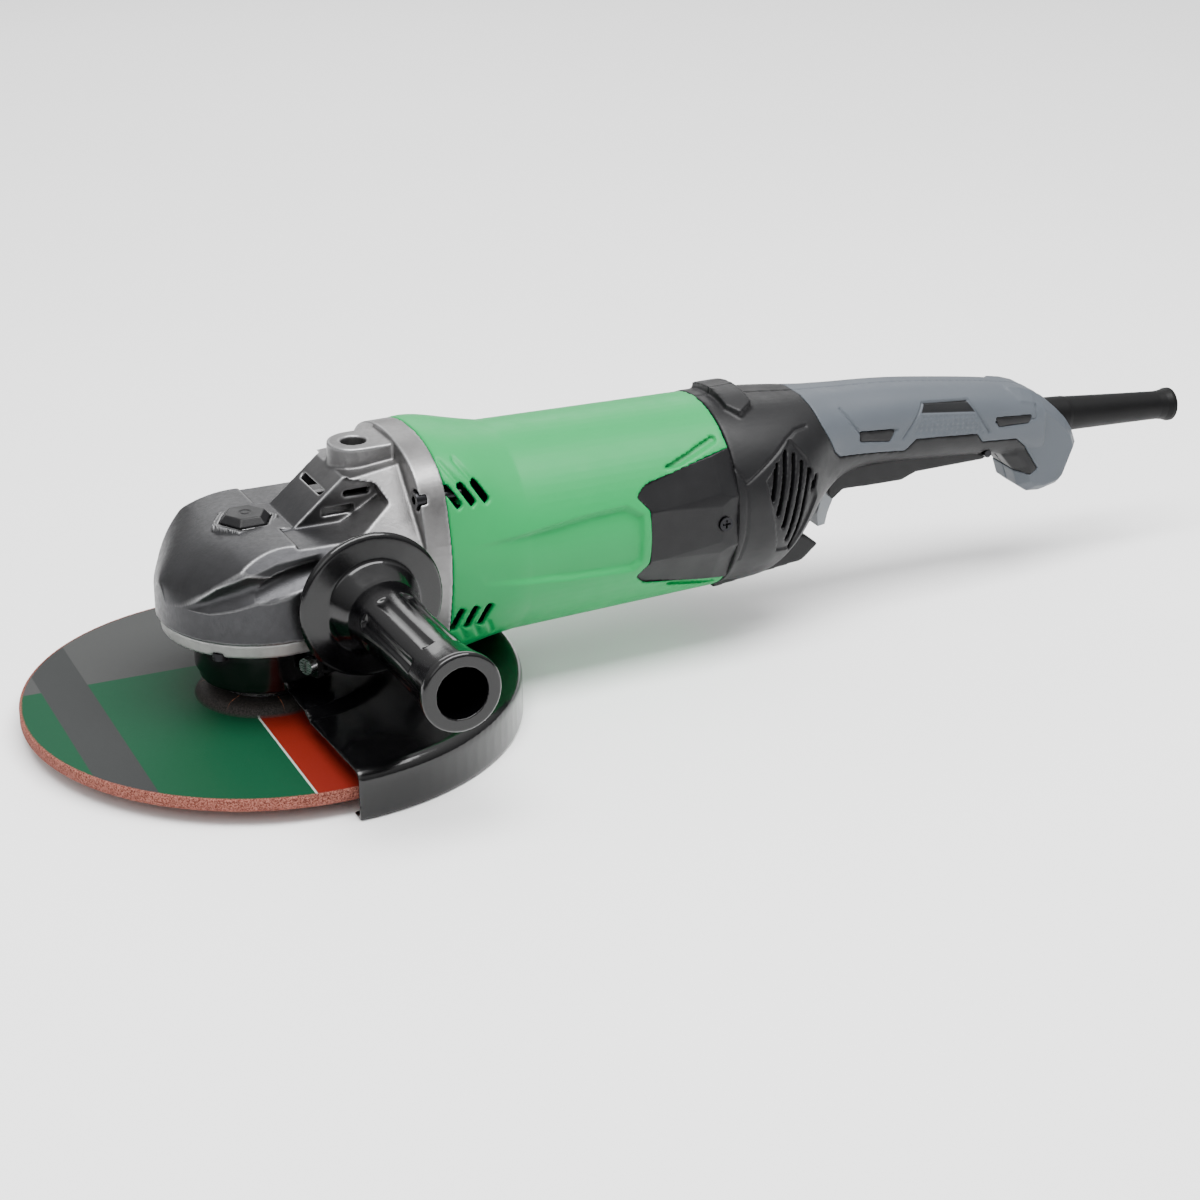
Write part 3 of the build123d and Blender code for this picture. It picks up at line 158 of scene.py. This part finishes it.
def rgb(r, g, b):
    """sRGB 0-255 to linear."""
    lin = [c / 255 / 12.92 if c <= 10.3 else ((c / 255 + 0.055) / 1.055) ** 2.4 for c in (r, g, b)]
    return (*lin, 1.0)


def darken(colour, share):
    return tuple(c * (1 - share) for c in colour[:3]) + (1.0,)


def edges(shader):
    """1 along the sharp convex edges of a finely meshed piece, where a painted highlight goes."""
    geometry = shader.node("NewGeometry")
    return shader.ramp(geometry.outputs["Pointiness"], 0.505, 0.55)


def plastic(name, colour, roughness=0.45, grain=0.03, grain_scale=2600, spread=0.12, specular=0.5):
    """Moulded plastic: spark-eroded grain, faint colour drift and uneven gloss."""
    s = Shader(name, Specular_IOR_Level=specular)
    drift = s.noise(38, 4)
    tint = s.mix(drift, darken(colour, spread), colour)
    fine = s.noise(grain_scale, 2)
    s.set("Base Color", tint)
    s.set("Roughness", s.patchy(s.noise(90, 5, 0.6), roughness - 0.05, roughness + 0.07))
    s.bump((fine, grain))
    return s.mat


def metal(name, colour, roughness, grain=0.01, grain_scale=3000, stretch=None, spread=0.2):
    """Bare or coated metal with streaked or even grain."""
    s = Shader(name, Metallic=1.0)
    s.set("Base Color", s.mix(s.patchy(s.noise(60, 5)), darken(colour, spread), colour))
    fine = s.noise(grain_scale, 2, stretch=stretch)
    s.set("Roughness", s.patchy(s.noise(150, 4, stretch=stretch), roughness - 0.06, roughness + 0.08))
    s.bump((fine, grain))
    return s.mat


def cast_aluminium(name, nose, flange_painted_highlight, roughness):
    """Sand-soft casting skin under satin lacquer, darker over the nose and lighter towards the motor end as a
    painted reflection, with a painted highlight along sharp edges.
    """
    s = Shader(name, Metallic=0.9)
    cloud = s.patchy(s.noise(70, 6, 0.6))
    x, _, _ = s.separate()
    nose_end, flange_start = 18 * MM, 66 * MM
    # painted highlight: the ramp to the lighter colour at the motor end stands in for the reflection caught
    # there
    colour = s.mix(s.ramp(x, nose_end, flange_start), nose, flange_painted_highlight)
    tint = s.mix(s.math("MULTIPLY", cloud, 0.35), colour, (0.02, 0.02, 0.02, 1.0))
    # painted highlight: a fixed light grey along sharp convex edges
    s.set("Base Color", s.mix(edges(s), tint, rgb(150, 150, 151)))
    s.set("Roughness", s.patchy(s.noise(420, 4, 0.7), roughness - 0.05, roughness + 0.09))
    s.bump((s.noise(1500, 3, 0.6), 0.05), (s.noise(300, 3), 0.08))
    return s.mat


def grip_rubber():
    """Grey soft skin with a dark band over the moulded pattern."""
    s = Shader("grey_rubber", Specular_IOR_Level=0.3)
    x, _, z = s.separate()
    x = s.math("MULTIPLY", x, 1000)
    z = s.math("MULTIPLY", z, 1000)

    def past(value, sign, run, rise, start):
        """1 where value is past a sloping line start + rise * run, on the side of the sign."""
        line = s.math("ADD", s.math("MULTIPLY", run, rise), start)
        gap = s.math("MULTIPLY", s.math("SUBTRACT", value, line), sign)
        return s.ramp(gap, -0.15, 0.15)

    # the band lies between two lines along the grip and two across it
    band = s.math("MULTIPLY", past(z, 1, x, -0.1415, 138.6), past(z, -1, x, -0.106, 130.4))
    band = s.math("MULTIPLY", band, past(x, 1, z, 0.64, 289.8))
    band = s.math("MULTIPLY", band, past(x, -1, z, -0.63, 433.1))
    tint = s.mix(s.noise(38, 4), rgb(68, 73, 79), rgb(74, 79, 85))
    s.set("Base Color", s.mix(band, tint, rgb(16, 17, 19)))
    s.set("Roughness", s.patchy(s.noise(90, 5, 0.6), 0.45, 0.57))
    s.bump((s.noise(2200, 2), 0.04))
    return s.mat


def wheel_label():
    """Printed face of the wheel over pressed abrasive, with plain colour fields and no words."""
    # fields of the print, and radii of the hub and the rim, in millimetres
    grey_field, red_field, band_field = (37.3, 200), (-12.2, 14), (-98.6, -76.2)
    pale_line = (-13.2, -12.2)
    hub_rim, wheel_rim = (32.2, 33.6), (114.2, 115.0)

    s = Shader("wheel_label", Specular_IOR_Level=0.12)
    x, y, z = s.separate()
    # the print is turned a little on the wheel
    u = s.math("SUBTRACT", s.math("MULTIPLY", x, 1000), s.math("MULTIPLY", y, 34))
    v = s.math("ADD", s.math("MULTIPLY", y, 1000), s.math("MULTIPLY", x, 34))
    square = s.math("ADD", s.math("MULTIPLY", x, x), s.math("MULTIPLY", y, y))
    r = s.math("MULTIPLY", s.math("POWER", square, 0.5), 1000)

    def within(value, low, high, soft=0.25):
        rising = s.ramp(value, low - soft, low + soft)
        falling = s.ramp(value, high - soft, high + soft, 1.0, 0.0)
        return s.math("MULTIPLY", rising, falling)

    fibre = s.noise(900, 4, 0.65)
    green = s.mix(fibre, rgb(3, 52, 31), rgb(6, 63, 39))
    grey = s.mix(fibre, rgb(50, 51, 51), rgb(60, 61, 60))
    band = s.mix(fibre, rgb(36, 38, 38), rgb(45, 46, 46))
    red = s.mix(fibre, rgb(92, 18, 9), rgb(108, 24, 13))
    grit = s.node("TexVoronoi", {"Vector": s.coords, "Scale": 1500.0})
    speck = s.ramp(s.noise(1300, 4, 0.75), 0.42, 0.6)
    brown = s.mix(speck, rgb(92, 46, 38), rgb(176, 112, 98))
    brown = s.mix(s.ramp(grit.outputs["Distance"], 0.0, 0.25, 0.35, 0.0), brown, rgb(225, 190, 178))
    dark = s.mix(speck, rgb(30, 28, 27), rgb(54, 50, 48))
    paint = s.mix(within(v, *grey_field), green, grey)
    paint = s.mix(within(u, *red_field), paint, red)
    paint = s.mix(within(u, *pale_line, 0.1), paint, rgb(150, 156, 150))
    paint = s.mix(within(u, *band_field), paint, band)
    # copper-coloured pressed streaks on the hub
    angle = s.math("ARCTAN2", y, x)
    spoke = s.math("ABSOLUTE", s.math("SINE", s.math("MULTIPLY", s.math("SUBTRACT", angle, 0.12), 3.6)))
    streak = s.math("MULTIPLY", s.ramp(spoke, 0.0, 0.045, 1.0, 0.0), within(r, 17, 29, 3))
    streak = s.math("MULTIPLY", streak, s.ramp(s.noise(500, 4), 0.4, 0.6))
    hub = s.mix(streak, dark, rgb(196, 128, 96))
    paint = s.mix(s.ramp(r, *hub_rim), hub, paint)
    edge = s.ramp(s.math("ADD", r, s.math("MULTIPLY", fibre, 1.6)), *wheel_rim)
    top = s.ramp(s.math("MULTIPLY", z, 1000), -0.5, -0.2)
    face = s.math("MULTIPLY", top, s.math("SUBTRACT", 1.0, edge))
    s.set("Base Color", s.mix(face, brown, paint))
    s.set("Roughness", s.ramp(face, 0, 1, 0.9, 0.6))
    coarse = s.noise(1400, 4, 0.8)
    rough_depth = s.math("MULTIPLY", coarse, s.ramp(face, 0, 1, 1.0, 0.12))
    s.bump((rough_depth, 1.1), (fibre, 0.03))
    return s.mat


def laminated(name):
    """Stacked steel sheets, two to a millimetre."""
    s = Shader(name, Metallic=1.0)
    x, _, _ = s.separate()
    sheet = s.math("FRACT", s.math("MULTIPLY", x, 2000))
    s.set("Base Color", s.mix(s.noise(90, 3), rgb(96, 97, 102), rgb(132, 133, 138)))
    s.set("Roughness", s.patchy(s.noise(200, 3), 0.35, 0.55))
    s.bump((sheet, 0.12))
    return s.mat


def copper_wire(name):
    """Varnished windings, lying slantwise."""
    s = Shader(name, Metallic=0.85, Coat_Weight=0.6, Coat_Roughness=0.15)
    x, y, z = s.separate()
    turn = s.math("FRACT", s.math("MULTIPLY", s.math("ADD", s.math("ADD", y, z), x), 1100))
    s.set("Base Color", s.mix(s.noise(160, 4), rgb(150, 72, 34), rgb(206, 118, 66)))
    s.set("Roughness", s.patchy(s.noise(300, 3), 0.25, 0.4))
    s.bump((s.math("ABSOLUTE", s.math("SUBTRACT", turn, 0.5)), 0.35))
    return s.mat


MATERIALS = {
    # the second colour of cast_alu is a painted highlight; both aluminium looks paint a light grey along
    # sharp edges as a painted highlight
    "cast_alu": cast_aluminium("cast_alu", rgb(62, 62, 64), rgb(128, 127, 127), 0.38),
    "cover_alu": cast_aluminium("cover_alu", rgb(172, 172, 170), rgb(172, 172, 170), 0.45),
    "dark_screws": metal("dark_screws", rgb(44, 44, 46), 0.32),
    "steel": metal("steel", rgb(168, 168, 170), 0.28, stretch=(1, 1, 12)),
    "bearing_steel": metal("bearing_steel", rgb(205, 206, 208), 0.14),
    "gear_steel": metal("gear_steel", rgb(112, 112, 116), 0.3),
    "spring_steel": metal("spring_steel", rgb(150, 150, 152), 0.25),
    "abrasive": wheel_label(),
    "guard_black": plastic("guard_black", rgb(4, 4, 5), 0.17, 0.012, 700, specular=0.45),
    "green_plastic": plastic("green_plastic", rgb(7, 138, 72), 0.42, 0.02, 2400, spread=0.06, specular=0.22),
    "black_plastic": plastic("black_plastic", rgb(13, 13, 15), 0.44, 0.05, 1900, spread=0.2, specular=0.26),
    "gloss_black_plastic": plastic("gloss_black_plastic", rgb(3, 3, 4), 0.15, 0.008, 500, specular=0.4),
    "grey_rubber": grip_rubber(),
    "black_rubber": plastic("black_rubber", rgb(8, 8, 9), 0.5, 0.03, 1600, spread=0.25, specular=0.15),
    "grey_plastic": plastic("grey_plastic", rgb(128, 132, 136), 0.5, 0.02, 2200),
    "laminations": laminated("laminations"),
    "copper": copper_wire("copper"),
    "brass": metal("brass", rgb(196, 160, 96), 0.3),
    "carbon": plastic("carbon", rgb(44, 44, 46), 0.7, 0.05, 1500),
}

for node_name, obj in NODES.items():
    obj.data.materials.clear()
    obj.data.materials.append(MATERIALS[SLOT_OF[node_name]])


# ---------------------------------------------------------------- fine-meshed skins


def refine(node, voxel, smoothing=4):
    """A finely and evenly meshed stand-in for a CAD node, with softly moulded edges."""
    source = NODES[node]
    piece = add_object(node + "_skin", source.data.copy())
    remesh = piece.modifiers.new("remesh", "REMESH")
    remesh.mode = "VOXEL"
    remesh.voxel_size = voxel * MM
    remesh.use_smooth_shade = True
    soften = piece.modifiers.new("soften", "SMOOTH")
    soften.factor = 0.5
    soften.iterations = smoothing
    solved = piece.evaluated_get(bpy.context.evaluated_depsgraph_get())
    mesh = bpy.data.meshes.new_from_object(solved)
    piece.modifiers.clear()
    piece.data = mesh
    mesh.materials.clear()
    mesh.materials.append(MATERIALS[SLOT_OF[node]])
    mesh.polygons.foreach_set("use_smooth", [True] * len(mesh.polygons))
    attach(piece, BODY_OF[node])
    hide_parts(node)
    return piece


def smoothstep(t):
    t = np.clip(t, 0, 1)
    return t * t * (3 - 2 * t)


def distance_to_segment(points, a, b):
    run = b - a
    t = np.clip(((points - a) @ run) / (run @ run), 0, 1)
    return np.linalg.norm(points - a - t[:, None] * run, axis=1)


def distance_inside(points, outline):
    """How far 2-D points lie inside a closed outline, negative outside."""
    corners = np.array(outline, float)
    nearest = np.full(len(points), 1e9)
    inside = np.zeros(len(points), bool)
    for a, b in zip(corners, np.roll(corners, -1, axis=0)):
        nearest = np.minimum(nearest, distance_to_segment(points, a, b))
        run = b - a
        crossing = (a[1] > points[:, 1]) != (b[1] > points[:, 1])
        rise = run[1] if run[1] else 1e-9
        inside ^= crossing & (points[:, 0] < a[0] + (points[:, 1] - a[1]) * run[0] / rise)
    return np.where(inside, nearest, -nearest)


def distance_along(points, path):
    """How far 2-D points lie from an open path."""
    nearest = np.full(len(points), 1e9)
    for a, b in zip(np.array(path[:-1], float), np.array(path[1:], float)):
        nearest = np.minimum(nearest, distance_to_segment(points, a, b))
    return nearest


def along(x, *points):
    """A height that follows points (x, height) in straight runs."""
    return np.interp(x, *np.array(points, float).T)


def hexagon(radius):
    """Plan of the lock button's sides, by the distance of the corners from its middle."""
    turns = [math.radians(60 * k) for k in range(6)]
    return [(BUTTON_X + radius * math.cos(t), radius * math.sin(t)) for t in turns]


class Sculpt:
    """Presses and grooves the outer faces of a finely meshed skin, in millimetres."""

    def __init__(self, piece):
        self.mesh = piece.data
        flat = np.empty(len(self.mesh.vertices) * 3, np.float32)
        self.mesh.vertices.foreach_get("co", flat)
        self.co = flat.reshape(-1, 3).astype(float) / MM
        self.mesh.vertices.foreach_get("normal", flat)
        self.normals = flat.reshape(-1, 3).astype(float)

    def outer(self, side, facing=0.15):
        """The skin's outer faces on one side, -1 near and 1 far."""
        return (self.co[:, 1] * side > 0) & (self.normals[:, 1] * side > facing)

    def push(self, weight, depth):
        self.co -= self.normals * (weight * depth)[:, None]

    def press(self, side, outline, depth, soft=0.8, fade=None):
        """Sinks the area inside an x-z outline on one side; fade is an x range that it deepens over."""
        d = distance_inside(self.co[:, [0, 2]], outline)
        weight = smoothstep(d / soft + 0.5) * self.outer(side)
        if fade:
            weight = weight * smoothstep((self.co[:, 0] - fade[0]) / (fade[1] - fade[0]))
        self.push(weight, depth)

    def sink(self, side, outline, depth, soft=1.0):
        """Moves everything inside an x-z outline straight inwards, slots and all."""
        d = distance_inside(self.co[:, [0, 2]], outline)
        near = self.co[:, 1] * side > 24
        self.co[:, 1] -= side * depth * smoothstep(d / soft + 0.5) * near

    def groove(self, side, path, width, depth):
        d = distance_along(self.co[:, [0, 2]], path)
        self.push(smoothstep((width / 2 - d) / (width / 2) + 0.1) * self.outer(side), depth)

    def done(self):
        self.mesh.vertices.foreach_set("co", (self.co * MM).astype(np.float32).ravel())
        self.mesh.update()


skins = {}
for node_name, voxel in (
    ("gear_case", 0.7),
    ("wheel_guard", 0.8),
    ("motor_housing", 0.8),
    ("handle_shell_right", 0.8),
    ("handle_shell_left", 0.8),
    ("grip_right", 0.6),
    ("grip_left", 0.6),
    ("side_handle_grip", 0.7),
    ("brush_cover_right", 0.6),
    ("brush_cover_left", 0.6),
    ("trigger", 0.6),
    ("spindle_lock_button", 0.4),
    ("bearing_cover", 0.6),
):
    skins[node_name] = refine(node_name, voxel)

# Sunk label panel and short fins of the vents on both sides of the green body
LABEL_PANEL = [
    (82, 73.5),
    (115.6, 76),
    (150, 79),
    (168, 79.6),
    (176, 74.2),
    (175.5, 51),
    (171.2, 47.4),
    (138, 49.6),
    (94, 55),
]
VENTS = 3
FIRST_VENT_X = 80.5
VENT_PITCH = 7.2
housing = Sculpt(skins["motor_housing"])
for side in (-1, 1):
    housing.press(side, LABEL_PANEL, 2.6, soft=2.6, fade=(84, 132))
    for k in range(VENTS):
        vent_x = FIRST_VENT_X + VENT_PITCH * k
        housing.groove(side, [(vent_x - 3, 103.5), (vent_x - 9, 112.5)], 3.4, 1.1)
        housing.groove(side, [(vent_x + 2, 33), (vent_x + 5, 27)], 3.4, 0.9)
housing.done()

# The nose's crown falls away towards its front corners, over a long scoop on both sides
case = Sculpt(skins["gear_case"])
x, y, z = case.co.T
half_width = np.sqrt(np.clip(NOSE_R**2 - np.minimum(x, 0) ** 2, 60, None))
crown_drop = along(x, (-49, 11), (-40.5, 9.5), (-33, 6.4), (-21, 3), (-7, 0.8), (5, 0))
case.co[:, 2] -= crown_drop * np.clip(np.abs(y) / half_width, 0, 1) ** 2.2 * smoothstep((z - 50) / 22)
x, y, z = case.co.T
scoop_low = along(
    x, (-44.7, 58), (-36, 58.2), (-26.7, 61), (-18, 64.3), (-9, 66.7), (4, 68.6), (16, 70)
)
scoop_high = along(
    x, (-44.7, 59), (-40.5, 64), (-33, 71.5), (-21, 78), (-7, 81.5), (5.6, 82.5), (16, 83)
)
height_in = (z - scoop_low) / np.maximum(scoop_high - scoop_low, 0.5)
radius = np.hypot(np.minimum(x, 0), y)
towards = np.stack([np.minimum(x, 0), y, np.zeros(len(x))], axis=1) / np.maximum(radius, 1)[:, None]
outward = smoothstep((case.normals * towards).sum(axis=1) * 2)
depth = 3.2 * np.sin(np.pi * np.clip(height_in, 0, 1)) ** 1.2 * smoothstep((x + 45) / 14)
depth *= outward * smoothstep((radius - 36) / 8) * smoothstep((18 - x) / 6)
case.co -= towards * depth[:, None]
# the lock button's pedestal stands up round it
COLLAR_R, RECESS_R, WELL_R = 15.8, 12.9, 13.7
PEDESTAL_TOP = 87.2
plan = case.co[:, :2]
ring = (distance_inside(plan, hexagon(COLLAR_R)) > -0.3) & (distance_inside(plan, hexagon(RECESS_R)) < 0.1)
ring &= (case.co[:, 2] > 79) & (case.normals[:, 2] > 0.35)
case.co[:, 2] = np.where(ring, np.maximum(case.co[:, 2], PEDESTAL_TOP), case.co[:, 2])
# room for the pressed button's travel, below it and round it
in_well = (distance_inside(plan, hexagon(WELL_R)) > 0) & (case.co[:, 2] > 74) & (case.co[:, 2] < 90)
bottom = in_well & (case.normals[:, 2] > 0.5) & (case.co[:, 2] < 81)
wall = in_well & (np.abs(case.normals[:, 2]) < 0.5)
case.co[:, 2] -= bottom * 0.7
case.co[:, :2] -= case.normals[:, :2] * (wall * 0.45)[:, None]
case.done()

# Small round mark on the lock button, whose sides and underside draw in to clear its well
MARK_R = 2.4
button = Sculpt(skins["spindle_lock_button"])
r = np.hypot(button.co[:, 0] - BUTTON_X, button.co[:, 1])
button.co[:, 2] -= 0.4 * smoothstep((0.7 - np.abs(r - MARK_R)) / 0.5) * (button.normals[:, 2] > 0.7)
button.push(button.normals[:, 2] < 0.3, 0.3)
button.done()

# Brush covers stand a little proud, with a flat middle and two sloping facets
COVER_FLAT_Y = 48.6
COVER_TAPER_X = 219
for name in ("brush_cover_right", "brush_cover_left"):
    cover = Sculpt(skins[name])
    for side in (-1, 1):
        shown = cover.outer(side, 0.3) & (np.hypot(cover.co[:, 1], cover.co[:, 2] - MOTOR_Z) > 46)
        cover.push(shown * 1.0, -0.55)
        beyond = np.clip(np.abs(cover.co[:, 2] - MOTOR_Z) - 12.5, 0, 40)
        tapered = COVER_FLAT_Y - 0.16 * (cover.co[:, 0] - COVER_TAPER_X)
        limit = np.where(cover.co[:, 0] < COVER_TAPER_X, COVER_FLAT_Y, tapered) - 0.56 * beyond
        sunk = np.minimum(np.abs(cover.co[:, 1]), limit)
        cover.co[:, 1] = np.where(shown, sunk * side, cover.co[:, 1])
    cover.done()

# Sunk louvre field and shoulder creases on both sides of the tail
LOUVRE_FIELD = [(244.5, 79.3), (262.4, 94.5), (270.4, 84.3), (277.4, 62.8), (263.4, 38.8), (252.1, 40.8)]
TAIL_CREASES = [
    [(260.9, 94.9), (233.5, 80), (232.8, 53.4), (231.3, 39.8)],
    [(228.5, 87.8), (233.5, 80)],
    [(260.9, 94.9), (267.8, 97.3), (275, 97.4)],
]
for name in ("handle_shell_right", "handle_shell_left"):
    shell = Sculpt(skins[name])
    for side in (-1, 1):
        shell.sink(side, LOUVRE_FIELD, 1.5, soft=1.2)
        for crease in TAIL_CREASES:
            shell.groove(side, crease, 1.8, 0.7)
    shell.done()

# Grooves and a moulded diamond pattern on the grips
GRIP_LINES = [
    [(300.2, 98.9), (309.6, 85.9), (332.2, 83.5)],
    [(336.1, 78.2), (348.7, 94.2), (376.5, 91.1), (388.2, 73)],
    [(392.3, 77.5), (417.9, 75.1), (418.3, 82)],
]
GRIP_BAND = [(347.1, 89.5), (349.6, 93.4), (376, 90.6), (379.6, 84.9)]
GRIP_PATTERN = [(341.5, 78.8), (347.1, 89), (379.6, 84.2), (385.5, 72.6)]
for name in ("grip_right", "grip_left"):
    grip = Sculpt(skins[name])
    for side in (-1, 1):
        for line in GRIP_LINES:
            grip.groove(side, line, 1.5, 0.9)
        grip.press(side, GRIP_BAND, 0.9, soft=0.7)
        x, z = grip.co[:, 0], grip.co[:, 2]
        waves = np.maximum(np.sin((x + z) * 1.15) * np.sin((x - 1.6 * z) * 0.85), -0.2)
        d = distance_inside(grip.co[:, [0, 2]], GRIP_PATTERN)
        grip.push(smoothstep(d / 0.8) * (0.35 - 0.5 * waves) * grip.outer(side), 1.0)
    grip.done()


# The return springs of the lock button and the trigger, copied as coils on their bodies: each has its joint,
# the height of its fixed end, and the share of its length that is left at the joint's limit
for node_name, joint, fixed_end, keep in (
    ("lock_spring", "lock_press", 70.2, 0.66),
    ("trigger_spring", "trigger_pull", 79.3, 0.55),
):
    coil = add_object(node_name + "_coil", NODES[node_name].data.copy())
    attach(coil, BODY_OF[node_name])
    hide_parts(node_name)
    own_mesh(coil)


# ---------------------------------------------------------------- stage

FLOOR_REACH = 30.0
floor_z = Vector(cad_box[0]).z
floor_corners = [(i * FLOOR_REACH, j * FLOOR_REACH, floor_z) for i, j in ((-1, -1), (1, -1), (1, 1), (-1, 1))]
floor_mesh = bpy.data.meshes.new("floor")
floor_mesh.from_pydata(floor_corners, [], [(0, 1, 2, 3)])
floor = add_object("floor", floor_mesh)
floor_look = Shader("floor", Roughness=0.6, Specular_IOR_Level=0.2)
floor_look.set("Base Color", floor_look.mix(floor_look.noise(3, 3), rgb(240, 240, 240), rgb(246, 246, 246)))
floor_mesh.materials.append(floor_look.mat)

# A soft sky, brighter towards the zenith
world = bpy.data.worlds.new("studio")
bpy.context.scene.world = world
world.use_nodes = True
sky = world.node_tree
direction = sky.nodes.new("ShaderNodeTexCoord").outputs["Generated"]
height = sky.nodes.new("ShaderNodeSeparateXYZ")
sky.links.new(direction, height.inputs[0])
glow = sky.nodes.new("ShaderNodeMapRange")
for socket, value in (("From Min", 0.0), ("From Max", 0.9), ("To Min", 0.2), ("To Max", 1.5)):
    glow.inputs[socket].default_value = value
sky.links.new(height.outputs["Z"], glow.inputs["Value"])
sky.nodes["Background"].inputs["Color"].default_value = (1, 1, 1, 1)
sky.links.new(glow.outputs[0], sky.nodes["Background"].inputs["Strength"])


def softbox(name, place, target, width, height, power):
    """Rectangular lamp turned from its place to a target, in metres and watts."""
    lamp = bpy.data.lights.new(name, "AREA")
    lamp.shape = "RECTANGLE"
    lamp.size = width
    lamp.size_y = height
    lamp.energy = power
    holder = add_object(name, lamp)
    holder.location = place
    holder.rotation_euler = (Vector(target) - Vector(place)).to_track_quat("-Z", "Y").to_euler()


softbox("top", (0.15, -0.35, 1.5), (0.15, 0, 0), 1.8, 0.8, 62)
softbox("key", (-1.1, -1.2, 1.2), (0.1, 0, 0.05), 0.9, 0.9, 5)
softbox("rear", (0.6, 1.5, 0.9), (0.15, 0, 0.05), 1.6, 0.5, 9)

# The photo's camera, as fitted to the wheel's rim, the tool's axis and the handles' ends
camera_data = bpy.data.cameras.new("camera")
camera_data.sensor_width = 36
camera_data.lens = 88.55
camera = add_object("camera", camera_data)
camera.location = (-0.4090, -1.2083, 0.6016)
aim = Vector((0.1767, 0.0, 0.0116))
camera.rotation_euler = (aim - camera.location).to_track_quat("-Z", "Y").to_euler()
bpy.context.scene.camera = camera
